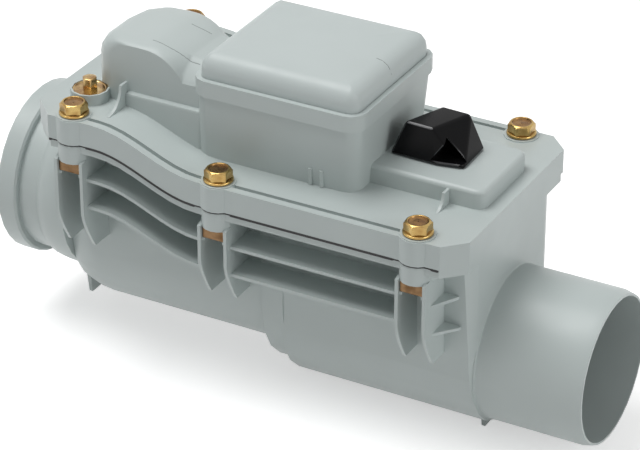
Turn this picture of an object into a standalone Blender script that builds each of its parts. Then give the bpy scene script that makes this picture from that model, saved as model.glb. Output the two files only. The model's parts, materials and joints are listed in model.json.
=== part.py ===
"""Two-flap backwater valve for DN 110 drain pipe, with a manual emergency lock.

All sizes are in metres. X runs from the inlet socket to the outlet spigot, Y across the valve
and Z up. The feet stand on Z = 0 and the valve's overall length is centred on X = 0.
"""
import math

import bmesh
import bpy
from mathutils import Matrix, Vector

# Pipe ends
PIPE_RADIUS = 0.055
PIPE_WALL = 0.0032
SPIGOT_LENGTH = 0.078
SPIGOT_CHAMFER_LENGTH = 0.007
SPIGOT_CHAMFER_DEPTH = 0.0016
SPIGOT_ROOT_FILLET = 0.0015
SOCKET_LENGTH = 0.046
SOCKET_CLEARANCE = 0.0005
SOCKET_WALL = 0.003
SOCKET_STOP = 0.044
COLLAR_LENGTH = 0.016
COLLAR_STEP = 0.005
COLLAR_EDGE = 0.0015
SHOULDER_STEP = 0.005
SHOULDER_RUN = 0.019
SHOULDER_START = 0.015
SPIGOT_BOTTOM_Z = 0.007
INLET_RISE = 0.0425

# Lip seal in the collar
SEAL_GROOVE_START = 0.0035
SEAL_GROOVE_LENGTH = 0.0095
SEAL_GROOVE_DEPTH = 0.0054
SEAL_LIP_SQUEEZE = 0.0015

# Moulded body
CHAMBER_LENGTH = 0.332
WALL = 0.0032
STEP_X = 0.003
STEP_LENGTH = 0.0145
FLAP_SIDE_CLEARANCE = 0.0028
LEFT_FLOOR_Z = 0.024
LEFT_DRAFT = 0.002
LEFT_END_RUN = 0.032
LEFT_END_SHRINK = 0.022
MIDDLE_WIDER = 0.0018
MIDDLE_FLOOR_Z = 0.0122
MIDDLE_DRAFT = 0.0022
RIGHT_WIDER = 0.0005
RIGHT_FLOOR_Z = 0.005
RIGHT_DRAFT = 0.0055
RIGHT_CORNER_ROUND = 0.012
FOOT_X = (-0.180, -0.010, 0.141)
FOOT_BOTTOM_Z = (0.0177, 0.009, 0.0)
FOOT_TOP_Z = (0.056, 0.040, 0.036)
FOOT_HALF_WIDTH = 0.0185
FOOT_FLARE = 0.006
FOOT_THICKNESS = 0.0028

# Parting line between body and cover
HINGE_TO_PARTING = 0.03657
RAMP_RISE = 0.0224
RAMP_RIGHT_X = -0.046
RAMP_LEFT_X = -0.128
PARTING_GAP = 0.0008
FLANGE_THICKNESS = 0.006
FLANGE_INSET = 0.001
FLANGE_END_LIP = 0.014
FLANGE_OPENING_INSET = 0.0005
FLANGE_BAR_WIDTH = 0.009
OPENING_ROUND = 0.008

# Bolted joint
BOLT_X = (-0.1475, -0.0332, 0.1177)
BOLT_TO_SIDE = 0.0089
BOLT_RADIUS = 0.005
BOLT_CLEARANCE = 0.0005
BOLT_HEAD_FLATS = 0.017
BOLT_HEAD_HEIGHT = 0.0068
BOLT_HEAD_CHAMFER = 0.0011
BOLT_END_PAST_NUT = 0.0006
WASHER_RADIUS = 0.0105
WASHER_THICKNESS = 0.002
NUT_SIDE = 0.017
NUT_HEIGHT = 0.008
BOSS_HEIGHT = 0.0145
BOSS_RADIUS = 0.0122
NUT_SIDE_GAP = 0.0004
FIN_THICKNESS = 0.0025
FIN_REACH = 0.0105
FIN_TIP_Z = (0.0977, 0.0872, 0.0790)
FIN_NOSE_HEIGHT = 0.030
FIN_NOSE_DEPTH = 0.0135
FIN_NOSE_POWER = 1.35
NUB_SIZE = 0.002
RIB_THICKNESS = 0.0024
RIB_DROPS = (0.0276, 0.0490)
RIB_INSET = 0.0035
GUSSET_DROPS = (0.0110, 0.0330)
GUSSET_RUN = 0.014

# Cover
COVER_OVERHANG = 0.030
COVER_LEFT_OVERHANG = -0.0005
COVER_RIGHT_OVERHANG = 0.0027
COVER_LEFT_CHAMFER = 0.018
COVER_RIGHT_CHAMFER = 0.0145
PAD_RADIUS = 0.013
PAD_PROUD = 0.0008
SKIRT_HEIGHT = 0.0187
SKIRT_WALL = 0.0035
DECK_THICKNESS = 0.0055
COVER_BOSS_RADIUS = 0.009
GROOVE_TO_SIDE = 0.009
GROOVE_WIDTH = 0.0035
GROOVE_DEPTH = 0.0032

# Cover gasket
GASKET_OUTSIDE_CHAMBER = 0.0105
GASKET_END_INSET = 0.0075
GASKET_RADIUS = 0.0024
GASKET_BAR_THINNER = 0.0002
GASKET_CORNER = 0.010
GASKET_RIM_WIDTH = 0.008

# Dome over the inlet flap
DOME_X = -0.110
DOME_AXIS_RISE = 0.0108
DOME_RADIUS = 0.0365
DOME_LEFT_X = -0.1508
DOME_TO_SIDE = 0.0410
DOME_FAR_Y = 0.021
DOME_CORNER = 0.015
DOME_SIDE_ROUND = 0.014
DOME_EDGE = 0.003
DOME_WALL = 0.0035
DOME_SHELF_RISE = 0.0178
DOME_FAR_ROUND = 0.017
DOME_FAR_RUN = 0.029
PLINTH_PROUD = 0.004
PLINTH_HEIGHT = 0.0098
PLINTH_EDGE = 0.0025
SADDLE_LEFT_X = -0.104
SADDLE_LEFT_RISE = 0.0456
SADDLE_RIGHT_RISE = 0.0385
SADDLE_NEAR = (0, 0.1, 0.5, 1)
SADDLE_FAR = (0, 0.4, 1, 1)
DOME_FIN_X = -0.1245
DOME_FIN_RUN = 0.025
DOME_FIN_HEIGHT = 0.0168
SMALL_FIN_THICKNESS = 0.002

# Dry box on the cover and its cap
BOX_LEFT_X = -0.0650
BOX_RIGHT_X = 0.0605
BOX_HALF_WIDTH = 0.057
BOX_DRAFT_X = 0.0035
BOX_LEFT_FLARE = 0.0025
BOX_DRAFT_Y = 0.0045
BOX_CORNER = 0.010
BOX_WALL = 0.005
BOX_HEIGHT = 0.0487
RIM_HEIGHT = 0.012
RIM_PROUD = 0.002
RIM_WALL = 0.004
CAP_RISE = 0.0185
CAP_ROUND = 0.0115
CAP_CROWN = 0.0012
CAP_WALL = 0.0028
CAP_SEAL_HEIGHT = 0.002
BOX_RIB_X = (0.0235, 0.0320)
BOX_RIB_RADIUS = 0.0010
BOX_RIB_HEIGHT = 0.012

# Platform under the handle
PLATFORM_RIGHT_X = 0.142
PLATFORM_NEAR_Y = -0.032
PLATFORM_FAR_Y = 0.038
PLATFORM_HEIGHT = 0.0137
PLATFORM_CORNER = 0.007
PLATFORM_EDGE = 0.003
PLATFORM_WALL = 0.004
PLATFORM_FIN_X = 0.116
PLATFORM_FIN_RUN = 0.018

# Test plug
PLUG_X = -0.1512
PLUG_TO_SIDE = 0.0357
CUP_RADIUS = 0.014
CUP_WALL = 0.0014
CUP_HEIGHT = 0.008
CUP_DEPTH = 0.0042
PLUG_SHANK_RADIUS = 0.0064
PLUG_FLANGE_THICKNESS = 0.0018
PLUG_STUB_SIDE = 0.0085
PLUG_STUB_HEIGHT = 0.0085
PLUG_SEAL_THICKNESS = 0.0016
PLUG_SHANK_LENGTH = 0.0115

# Flaps and their seats
SEAT_NARROWING = 0.010
SEAT_FACE_WIDTH = 0.0045
SEAT_TILT = math.radians(8)
SEAT_STAND = 0.0075
SEAT_TO_HINGE = 0.008
HINGE_ABOVE_FLAP = 0.0075
FLAP_LAP = 0.0025
FLAP_THICKNESS = 0.004
FLAP_GASKET_PAST_BORE = 0.0002
FLAP_GASKET_WIDTH = 0.0046
FLAP_GASKET_THICKNESS = 0.0024
FLAP_GASKET_PROUD = 0.0012
FLAP_RIB_HEIGHT = 0.0035
FLAP_RIB_WIDTH = 0.0026
FLAP_RIB_TO_EDGE = 0.008
HINGE_PIN_RADIUS = 0.0025
HINGE_EYE_RADIUS = 0.0055
HINGE_ARM_Y = 0.021
HINGE_ARM_WIDTH = 0.007
HINGE_EAR_WIDTH = 0.004
HINGE_SIDE_PLAY = 0.0008
HINGE_PIN_END = 0.002

# Emergency lock
LOCK_X = 0.089
LOCK_Y = 0.006
LOCK_SHAFT_RADIUS = 0.005
LOCK_HUB_RADIUS = 0.009
LOCK_BOSS_RADIUS = 0.013
LOCK_BOSS_LENGTH = 0.019
LOCK_HUB_PAST_BOSS = 0.004
FINGER_LENGTH = 0.038
FINGER_WIDTH = 0.008
FINGER_THICKNESS = 0.006
FINGER_HUB_RADIUS = 0.009
FINGER_RISE = 0.003
HORN_GAP = 0.0005
HORN_OVERLAP = 0.008
HORN_WIDTH = 0.005
HORN_TIP_HEIGHT = 0.007
HORN_ROOT_DROP = 0.024
FINGER_SCREW_RADIUS = 0.002
FINGER_SCREW_HEAD_RADIUS = 0.0072
FINGER_SCREW_HEAD_HEIGHT = 0.0024
FINGER_SCREW_LENGTH = 0.011
O_RING_RADIUS = 0.0008
CLIP_THICKNESS = 0.001
CLIP_RADIUS = 0.0125
HUB_GROOVE_DEPTH = 0.0016
HANDLE_HEIGHT = 0.026
HANDLE_EDGE = 0.0018
HANDLE_BASE = ((-0.027, -0.0185), (0.009, -0.0195), (0.028, -0.0155))
HANDLE_TOP = ((-0.017, -0.0155), (0.004, -0.0165))
HANDLE_TUNNEL_WIDTH = 0.023
HANDLE_TUNNEL_TOP = 0.0200
HANDLE_TUNNEL_ROUND = 0.0016
HANDLE_FLOOR = 0.003
HANDLE_TUNNEL_ANGLE = math.radians(137)

# Fits and smoothness
SEAT_GAP = 0.0003
PIPE_STEPS = 32
ROUND_STEPS = 24
BOSS_STEPS = 12
SMALL_STEPS = 8
ARC_STEPS = 10
END_STEPS = 5
CORNER_STEPS = 3
RAMP_STEPS = 8
OVERLAP = 0.002

# Places that follow from the sizes above
OVERALL_LENGTH = SOCKET_LENGTH + CHAMBER_LENGTH + SPIGOT_LENGTH
SOCKET_END_X = -OVERALL_LENGTH / 2
BODY_LEFT_X = SOCKET_END_X + SOCKET_LENGTH
BODY_RIGHT_X = BODY_LEFT_X + CHAMBER_LENGTH
SPIGOT_END_X = BODY_RIGHT_X + SPIGOT_LENGTH
OUTLET_AXIS_Z = SPIGOT_BOTTOM_Z + PIPE_RADIUS
INLET_AXIS_Z = OUTLET_AXIS_Z + INLET_RISE
SEAT_BORE = PIPE_RADIUS - SEAT_NARROWING
SEAT_RADIUS = SEAT_BORE + SEAT_FACE_WIDTH
FLAP_RADIUS = SEAT_RADIUS + FLAP_LAP
FLAP_GASKET_INNER = SEAT_BORE - FLAP_GASKET_PAST_BORE
FLAP_GASKET_OUTER = FLAP_GASKET_INNER + FLAP_GASKET_WIDTH
HINGE_TO_FLAP_CENTRE = FLAP_RADIUS + HINGE_ABOVE_FLAP
HINGE_RISE = SEAT_TO_HINGE * math.sin(SEAT_TILT) + HINGE_TO_FLAP_CENTRE * math.cos(SEAT_TILT)
LEFT_RADIUS = FLAP_RADIUS + FLAP_SIDE_CLEARANCE + WALL
LEFT_AXIS_Z = LEFT_FLOOR_Z + LEFT_RADIUS
MIDDLE_RADIUS = LEFT_RADIUS + MIDDLE_WIDER
MIDDLE_AXIS_Z = MIDDLE_FLOOR_Z + MIDDLE_RADIUS
RIGHT_RADIUS = LEFT_RADIUS + RIGHT_WIDER
RIGHT_AXIS_Z = RIGHT_FLOOR_Z + RIGHT_RADIUS
FLANGE_OPENING_HALF_WIDTH = LEFT_RADIUS - FLANGE_OPENING_INSET
GASKET_HALF_WIDTH = LEFT_RADIUS + GASKET_OUTSIDE_CHAMBER
COVER_HALF_WIDTH = LEFT_RADIUS + COVER_OVERHANG
BOLT_Y = COVER_HALF_WIDTH - BOLT_TO_SIDE
PLUG_Y = PLUG_TO_SIDE - COVER_HALF_WIDTH
DOME_NEAR_Y = DOME_TO_SIDE - COVER_HALF_WIDTH
GROOVE_INNER_Y = COVER_HALF_WIDTH - GROOVE_TO_SIDE
RIB_HALF_WIDTH = COVER_HALF_WIDTH - RIB_INSET
PARTING_Z = OUTLET_AXIS_Z + HINGE_RISE + HINGE_TO_PARTING
STEP_LEFT_X = STEP_X - STEP_LENGTH
SOCKET_BORE = PIPE_RADIUS + SOCKET_CLEARANCE
BARREL_RADIUS = SOCKET_BORE + SOCKET_WALL
COLLAR_RADIUS = BARREL_RADIUS + COLLAR_STEP
COVER_LEFT_X = BODY_LEFT_X - COVER_LEFT_OVERHANG
COVER_RIGHT_X = BODY_RIGHT_X + COVER_RIGHT_OVERHANG
FIN_INNER = NUT_SIDE / 2 + NUT_SIDE_GAP
FIN_OUTER = FIN_INNER + FIN_THICKNESS
DECK_Z = PARTING_Z + SKIRT_HEIGHT
HIGH_DECK_Z = DECK_Z + RAMP_RISE
CHAMBER_TOP_Z = PARTING_Z + RAMP_RISE + OVERLAP
BOX_SHOULDER_Z = DECK_Z + BOX_HEIGHT
RIM_TOP_Z = BOX_SHOULDER_Z + RIM_HEIGHT
CAP_TOP_Z = RIM_TOP_Z + CAP_RISE
PLATFORM_TOP_Z = DECK_Z + PLATFORM_HEIGHT
DOME_AXIS_Z = HIGH_DECK_Z + DOME_AXIS_RISE
DOME_FIN_TOP_Z = HIGH_DECK_Z + DOME_FIN_HEIGHT

# Outline planes: local X and Y of an outline go to the world axes named here
PLAN = Matrix.Identity(4)
SIDE = Matrix(((1, 0, 0, 0), (0, 0, 1, 0), (0, 1, 0, 0), (0, 0, 0, 1)))
SECTION = Matrix(((0, 0, 1, 0), (1, 0, 0, 0), (0, 1, 0, 0), (0, 0, 0, 1)))
ALONG_X = Matrix(((0, 0, 1, 0), (0, 1, 0, 0), (-1, 0, 0, 0), (0, 0, 0, 1)))
ALONG_Y = Matrix(((1, 0, 0, 0), (0, 0, 1, 0), (0, -1, 0, 0), (0, 0, 0, 1)))


def clear_scene():
    for item in list(bpy.data.objects):
        bpy.data.objects.remove(item, do_unlink=True)


def new_collection(name):
    group = bpy.data.collections.new(name)
    bpy.context.scene.collection.children.link(group)
    return group


def plastic(name, colour, roughness, metallic=0.0):
    skin = bpy.data.materials.new(name)
    skin.use_nodes = True
    shader = skin.node_tree.nodes["Principled BSDF"]
    shader.inputs["Base Color"].default_value = (*colour, 1.0)
    shader.inputs["Roughness"].default_value = roughness
    shader.inputs["Metallic"].default_value = metallic
    return skin


# Outlines

def arc(centre_x, centre_y, radius, start, end, steps):
    """Points of a round stretch from one angle to another, in degrees."""
    points = []
    for i in range(steps + 1):
        angle = math.radians(start + (end - start) * i / steps)
        points.append((centre_x + radius * math.cos(angle), centre_y + radius * math.sin(angle)))
    return points


def rounded_rectangle(x0, x1, y0, y1, radius, steps=CORNER_STEPS):
    return (arc(x1 - radius, y1 - radius, radius, 0, 90, steps)
            + arc(x0 + radius, y1 - radius, radius, 90, 180, steps)
            + arc(x0 + radius, y0 + radius, radius, 180, 270, steps)
            + arc(x1 - radius, y0 + radius, radius, 270, 360, steps))


def parting_z(x):
    """Height of the parting line, which climbs over the inlet half in an S."""
    along = (RAMP_RIGHT_X - x) / (RAMP_RIGHT_X - RAMP_LEFT_X)
    along = min(max(along, 0.0), 1.0)
    return PARTING_Z + RAMP_RISE * (0.5 - 0.5 * math.cos(math.pi * along))


def parting_stations(x0, x1):
    """X places from x0 to x1, close together only on the ramp."""
    ramp = [RAMP_LEFT_X + (RAMP_RIGHT_X - RAMP_LEFT_X) * i / RAMP_STEPS for i in range(RAMP_STEPS + 1)]
    return [x0] + [x for x in ramp if x0 + OVERLAP / 2 < x < x1 - OVERLAP / 2] + [x1]


def band(x0, x1, high, low):
    """Side outline between two curves that both follow the parting line."""
    stations = parting_stations(x0, x1)
    top = [(x, parting_z(x) + high) for x in stations]
    bottom = [(x, parting_z(x) + low) for x in reversed(stations)]
    return bottom[::-1] + top[::-1]


def under_parting(x0, x1, drop):
    """Side outline from below the feet up to the parting line less drop."""
    top = [(x, parting_z(x) - drop) for x in parting_stations(x0, x1)]
    return [(x0, -OVERLAP), (x1, -OVERLAP)] + top[::-1]


def u_section(radius, axis_z, draft, shrink=0.0):
    """Round floor with two straight walls that lean outwards up to the parting line."""
    radius = radius - shrink
    half_top = radius + draft
    height = CHAMBER_TOP_Z - axis_z
    reach = math.hypot(half_top, height)
    lean = math.degrees(math.atan2(height, half_top) - math.acos(radius / reach))
    floor = arc(0, axis_z, radius, 180 - lean, 360 + lean, ARC_STEPS)
    return floor + [(half_top, CHAMBER_TOP_Z), (-half_top, CHAMBER_TOP_Z)]


def cover_plan(inset):
    """Plan of the cover: straight sides with round pads at the bolts and cut corners."""
    side = COVER_HALF_WIDTH - inset
    pad = PAD_RADIUS - inset
    left = COVER_LEFT_X + inset
    right = COVER_RIGHT_X - inset
    swing = math.degrees(math.asin((side - BOLT_Y) / pad))
    edge = [(left, side - COVER_LEFT_CHAMFER), (left + COVER_LEFT_CHAMFER, side)]
    for x in BOLT_X:
        edge += arc(x, BOLT_Y, pad, 180 - swing, swing, 5)
    edge += [(right - COVER_RIGHT_CHAMFER, side), (right, side - COVER_RIGHT_CHAMFER)]
    return [(x, -y) for x, y in edge] + edge[::-1]


# Solids

def finish_mesh(name, mesh, group):
    """Weld, turn the faces outwards and link the mesh as an object."""
    work = bmesh.new()
    work.from_mesh(mesh)
    bmesh.ops.remove_doubles(work, verts=work.verts, dist=0.000002)
    bmesh.ops.recalc_face_normals(work, faces=work.faces)
    work.to_mesh(mesh)
    work.free()
    made = bpy.data.objects.new(name, mesh)
    group.objects.link(made)
    return made


def from_curve(name, curve, matrix, group):
    """Make a mesh object of a curve and drop the curve."""
    source = bpy.data.objects.new(name + "_curve", curve)
    mesh = bpy.data.meshes.new_from_object(source)
    mesh.transform(matrix)
    bpy.data.objects.remove(source, do_unlink=True)
    bpy.data.curves.remove(curve)
    return finish_mesh(name, mesh, group)


def prism(name, outline, low, high, plane, group):
    """Flat outline pulled from low to high along the normal of its plane."""
    curve = bpy.data.curves.new(name, "CURVE")
    curve.dimensions = "2D"
    curve.fill_mode = "BOTH"
    curve.extrude = (high - low) / 2
    spline = curve.splines.new("POLY")
    spline.points.add(len(outline) - 1)
    for point, (u, v) in zip(spline.points, outline):
        point.co = (u, v, 0, 1)
    spline.use_cyclic_u = True
    middle = (high + low) / 2
    return from_curve(name, curve, plane @ Matrix.Translation((0, 0, middle)), group)


def tube(name, points, radius, cyclic, group):
    """Round cord along points."""
    curve = bpy.data.curves.new(name, "CURVE")
    curve.dimensions = "3D"
    curve.bevel_depth = radius
    curve.bevel_resolution = 1
    curve.use_fill_caps = True
    spline = curve.splines.new("POLY")
    spline.points.add(len(points) - 1)
    for point, place in zip(spline.points, points):
        point.co = (*place, 1)
    spline.use_cyclic_u = cyclic
    return from_curve(name, curve, Matrix.Identity(4), group)


def turned(name, profile, matrix, group, steps=ROUND_STEPS):
    """Profile of (radius, height) points, top to bottom on its outer side, turned about local Z."""
    mesh = bpy.data.meshes.new(name)
    places = [(radius, 0, height) for radius, height in profile]
    closed = min(radius for radius, height in profile) > 0
    edges = [(i, i + 1) for i in range(len(places) - 1)]
    if closed:
        edges.append((len(places) - 1, 0))
    mesh.from_pydata(places, edges, [])
    made = bpy.data.objects.new(name, mesh)
    made.matrix_world = matrix
    group.objects.link(made)
    screw = made.modifiers.new("turn", "SCREW")
    screw.steps = steps
    screw.render_steps = steps
    screw.use_merge_vertices = True
    screw.merge_threshold = 0.00001
    return made


def drum(name, radius, low, high, matrix, group, steps=SMALL_STEPS):
    """Plain cylinder about local Z."""
    mesh = bpy.data.meshes.new(name)
    work = bmesh.new()
    middle = matrix @ Matrix.Translation((0, 0, (low + high) / 2))
    bmesh.ops.create_cone(work, cap_ends=True, segments=steps, radius1=radius, radius2=radius,
                          depth=high - low, matrix=middle)
    work.to_mesh(mesh)
    work.free()
    return finish_mesh(name, mesh, group)


def block(name, low, high, group, matrix=None):
    """Box between two corners."""
    mesh = bpy.data.meshes.new(name)
    work = bmesh.new()
    size = [b - a for a, b in zip(low, high)]
    middle = [(a + b) / 2 for a, b in zip(low, high)]
    place = Matrix.Translation(middle) @ Matrix.Diagonal((*size, 1))
    bmesh.ops.create_cube(work, size=1, matrix=(matrix or Matrix.Identity(4)) @ place)
    work.to_mesh(mesh)
    work.free()
    return finish_mesh(name, mesh, group)


def loft(name, rings, group, plane=PLAN):
    """Skin through rings of equal point counts, each given as an outline and its height."""
    work = bmesh.new()
    loops = [[work.verts.new((x, y, z)) for x, y in outline] for outline, z in rings]
    for below, above in zip(loops, loops[1:]):
        for i in range(len(below)):
            j = (i + 1) % len(below)
            work.faces.new((below[i], below[j], above[j], above[i]))
    work.faces.new(loops[0][::-1])
    work.faces.new(loops[-1])
    mesh = bpy.data.meshes.new(name)
    work.to_mesh(mesh)
    work.free()
    mesh.transform(plane)
    return finish_mesh(name, mesh, group)


def hull(name, points, matrix, group):
    """Smallest convex solid round a few points."""
    work = bmesh.new()
    for place in points:
        work.verts.new(place)
    result = bmesh.ops.convex_hull(work, input=work.verts)
    loose = [item for item in result["geom_interior"] if isinstance(item, bmesh.types.BMVert)]
    bmesh.ops.delete(work, geom=loose, context="VERTS")
    bmesh.ops.dissolve_limit(work, angle_limit=math.radians(1), verts=work.verts, edges=work.edges)
    mesh = bpy.data.meshes.new(name)
    work.to_mesh(mesh)
    work.free()
    mesh.transform(matrix)
    return finish_mesh(name, mesh, group)


def round_edges(piece, width, segments, angle=30):
    bevel = piece.modifiers.new("edges", "BEVEL")
    bevel.width = width
    bevel.segments = segments
    bevel.limit_method = "ANGLE"
    bevel.angle_limit = math.radians(angle)
    bevel.use_clamp_overlap = True


def combine(piece, operation, tools):
    """Join, cut or keep the common part of a piece and a group of tool solids."""
    group = bpy.data.collections.new(f"{piece.name}_{operation.lower()}_{len(piece.modifiers)}")
    cutters.children.link(group)
    for tool in tools:
        for owner in list(tool.users_collection):
            owner.objects.unlink(tool)
        group.objects.link(tool)
        tool.hide_render = True
        tool.display_type = "WIRE"
    step = piece.modifiers.new(operation.lower(), "BOOLEAN")
    step.operation = operation
    step.solver = "EXACT"
    if len(tools) == 1:
        step.object = tools[0]
    else:
        step.operand_type = "COLLECTION"
        step.collection = group
    return piece


def join(piece, *tools):
    return combine(piece, "UNION", tools)


def cut(piece, *tools):
    return combine(piece, "DIFFERENCE", tools)


def keep_common(piece, tool):
    return combine(piece, "INTERSECT", (tool,))


def weld(piece):
    """Merge the near-double points that the Booleans leave."""
    step = piece.modifiers.new("weld", "WELD")
    step.merge_threshold = 0.00001


def pivot(name, place):
    """Empty on a joint's axis."""
    empty = bpy.data.objects.new(name, None)
    empty.location = place
    empty.empty_display_size = 0.02
    parts.objects.link(empty)
    return empty


def hang(piece, empty):
    piece.parent = empty
    piece.matrix_parent_inverse = Matrix.Translation(-Vector(empty.location))


def along_x(z):
    return Matrix.Translation((0, 0, z)) @ ALONG_X


def upright(x, y, z=0.0):
    return Matrix.Translation((x, y, z))


def dress(piece, skin):
    piece.data.materials.clear()
    piece.data.materials.append(skin)
    return piece


def bolts():
    """Number, X and Y of each bolt, the near side first."""
    places = [(x, side * BOLT_Y) for side in (-1, 1) for x in BOLT_X]
    return [(number + 1, x, y) for number, (x, y) in enumerate(places)]


# Valve body

def hinge_point(wall_x, axis_z):
    """Place of a flap's hinge axis, above a seat that stands out from a wall."""
    return Vector((wall_x + SEAT_STAND + SEAT_TO_HINGE * math.cos(SEAT_TILT), 0, axis_z + HINGE_RISE))


INLET_WALL_X = BODY_LEFT_X + WALL
OUTLET_WALL_X = STEP_X + WALL
INLET_HINGE = hinge_point(INLET_WALL_X, INLET_AXIS_Z)
OUTLET_HINGE = hinge_point(OUTLET_WALL_X, OUTLET_AXIS_Z)


def tilted(hinge):
    """Frame of a flap: origin on the hinge, X along the seat's normal, Z up the seat's face."""
    return Matrix.Translation(hinge) @ Matrix.Rotation(-SEAT_TILT, 4, "Y")


def socket_solid():
    start = SOCKET_END_X
    barrel_end = BODY_LEFT_X - SHOULDER_START
    profile = [(0, start),
               (COLLAR_RADIUS - COLLAR_EDGE, start),
               (COLLAR_RADIUS, start + COLLAR_EDGE),
               (COLLAR_RADIUS, start + COLLAR_LENGTH - COLLAR_EDGE),
               (COLLAR_RADIUS - COLLAR_EDGE, start + COLLAR_LENGTH),
               (BARREL_RADIUS, start + COLLAR_LENGTH),
               (BARREL_RADIUS, barrel_end)]
    for i in range(1, 5):
        turn = math.radians(22.5 * i)
        profile.append((BARREL_RADIUS + SHOULDER_STEP * math.sin(turn),
                        barrel_end + SHOULDER_RUN * (1 - math.cos(turn))))
    profile += [(BARREL_RADIUS + SHOULDER_STEP, BODY_LEFT_X + 3 * WALL), (0, BODY_LEFT_X + 3 * WALL)]
    return turned("socket", profile[::-1], along_x(INLET_AXIS_Z), parts, PIPE_STEPS)


def spigot_solid():
    tip = PIPE_RADIUS - SPIGOT_CHAMFER_DEPTH
    root = PIPE_RADIUS + SPIGOT_ROOT_FILLET
    profile = [(0, BODY_RIGHT_X - WALL / 2), (root, BODY_RIGHT_X - WALL / 2)]
    for i in range(3):
        turn = math.radians(45 * i)
        profile.append((root - SPIGOT_ROOT_FILLET * math.sin(turn),
                        BODY_RIGHT_X + SPIGOT_ROOT_FILLET * (1 - math.cos(turn))))
    profile += [(PIPE_RADIUS, SPIGOT_END_X - SPIGOT_CHAMFER_LENGTH), (tip, SPIGOT_END_X), (0, SPIGOT_END_X)]
    return turned("spigot", profile[::-1], along_x(OUTLET_AXIS_Z), parts, PIPE_STEPS)


def left_stretch(name, start_x, inset):
    """Inlet stretch of the chamber, drawn in all round towards the socket like a quarter of an egg."""
    run = LEFT_END_RUN - inset
    depth = LEFT_END_SHRINK - inset
    rings = []
    for i in range(END_STEPS + 1):
        turn = math.radians(90 * i / END_STEPS)
        section = u_section(LEFT_RADIUS, LEFT_AXIS_Z, LEFT_DRAFT, inset + depth * (1 - math.sin(turn)))
        rings.append((section, start_x + run * (1 - math.cos(turn))))
    rings.append((rings[-1][0], STEP_X))
    return loft(name, rings, parts, SECTION)


def chamber_solids():
    """Three U-shaped stretches that widen from the inlet to the outlet."""
    left = left_stretch("chamber_left", BODY_LEFT_X, 0)
    middle = prism("chamber_middle", u_section(MIDDLE_RADIUS, MIDDLE_AXIS_Z, MIDDLE_DRAFT),
                   STEP_LEFT_X, STEP_X + OVERLAP, SECTION, parts)
    right = prism("chamber_right", u_section(RIGHT_RADIUS, RIGHT_AXIS_Z, RIGHT_DRAFT),
                  STEP_X, BODY_RIGHT_X, SECTION, parts)
    wide = RIGHT_RADIUS + RIGHT_DRAFT
    keep_common(right, prism("right_plan", rounded_rectangle(STEP_X - 2 * RIGHT_CORNER_ROUND, BODY_RIGHT_X,
                                                             -wide, wide, RIGHT_CORNER_ROUND), -OVERLAP, CHAMBER_TOP_Z,
                             PLAN, parts))
    return [left, middle, right]


def cavity_solids():
    """Hollows of the chambers inside the walls, up to the underside of the flange."""
    left = left_stretch("cavity_left", INLET_WALL_X, WALL)
    middle = prism("cavity_middle", u_section(MIDDLE_RADIUS, MIDDLE_AXIS_Z, MIDDLE_DRAFT, WALL),
                   STEP_LEFT_X + WALL, STEP_X, SECTION, parts)
    keep_common(middle, block("cavity_middle_height", (STEP_LEFT_X, -COVER_HALF_WIDTH, 0),
                              (STEP_X + OVERLAP, COVER_HALF_WIDTH, PARTING_Z - FLANGE_THICKNESS), parts))
    keep_common(left, prism("cavity_left_side",
                            under_parting(BODY_LEFT_X, STEP_X + OVERLAP, FLANGE_THICKNESS),
                            -COVER_HALF_WIDTH, COVER_HALF_WIDTH, SIDE, parts))
    right = prism("cavity_right", u_section(RIGHT_RADIUS, RIGHT_AXIS_Z, RIGHT_DRAFT, WALL),
                  OUTLET_WALL_X, BODY_RIGHT_X - WALL, SECTION, parts)
    wide = RIGHT_RADIUS + RIGHT_DRAFT - WALL
    keep_common(right, prism("cavity_right_plan",
                             rounded_rectangle(OUTLET_WALL_X - 2 * RIGHT_CORNER_ROUND,
                                               BODY_RIGHT_X - WALL, -wide, wide,
                                               RIGHT_CORNER_ROUND - WALL),
                             -OVERLAP, PARTING_Z - FLANGE_THICKNESS, PLAN, parts))
    return [left, middle, right]


def flange_openings(name, widen, low, high):
    """The two openings in the flange, one over each chamber, with the gasket bar between them."""
    half = FLANGE_OPENING_HALF_WIDTH + widen
    bar = FLANGE_BAR_WIDTH / 2
    left = rounded_rectangle(BODY_LEFT_X + FLANGE_END_LIP - widen, STEP_X - bar, -half, half, OPENING_ROUND)
    right = rounded_rectangle(STEP_X + bar, BODY_RIGHT_X - FLANGE_END_LIP + widen, -half, half,
                              OPENING_ROUND)
    return [prism(name + "_left", left, low, high, PLAN, parts),
            prism(name + "_right", right, low, high, PLAN, parts)]


def side_outline(name):
    """Everything of the chambers that lies under the parting line."""
    return prism(name, under_parting(BODY_LEFT_X - OVERLAP, BODY_RIGHT_X + OVERLAP, 0),
                 -COVER_HALF_WIDTH, COVER_HALF_WIDTH, SIDE, parts)


def bolt_boss_solids():
    """Half-round boss, the two fins that hold the square nut and the ribs between the bolts."""
    made = []
    for number, x, y in bolts():
        side = math.copysign(1, y)
        top = parting_z(x)
        inner = LEFT_RADIUS - 2 * WALL
        outline = [(x - BOSS_RADIUS, inner)] + arc(x, BOLT_Y, BOSS_RADIUS, 180, 0, 8)
        outline.append((x + BOSS_RADIUS, inner))
        outline = [(u, v * side) for u, v in outline]
        made.append(prism(f"boss_{number}", outline, top - BOSS_HEIGHT, top - OVERLAP / 2, PLAN, parts))
        fin = [(v * side, w) for v, w in fin_outline(top, FIN_TIP_Z[(number - 1) % len(BOLT_X)])]
        for edge in (-1, 1):
            near, far = sorted((x + edge * FIN_INNER, x + edge * FIN_OUTER))
            made.append(prism(f"fin_{number}_{edge + 1}", fin, near, far, SECTION, parts))
            made.append(nut_nub(x + edge * FIN_INNER, side, top - BOSS_HEIGHT - NUT_HEIGHT - 2 * SEAT_GAP))
    return made


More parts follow.
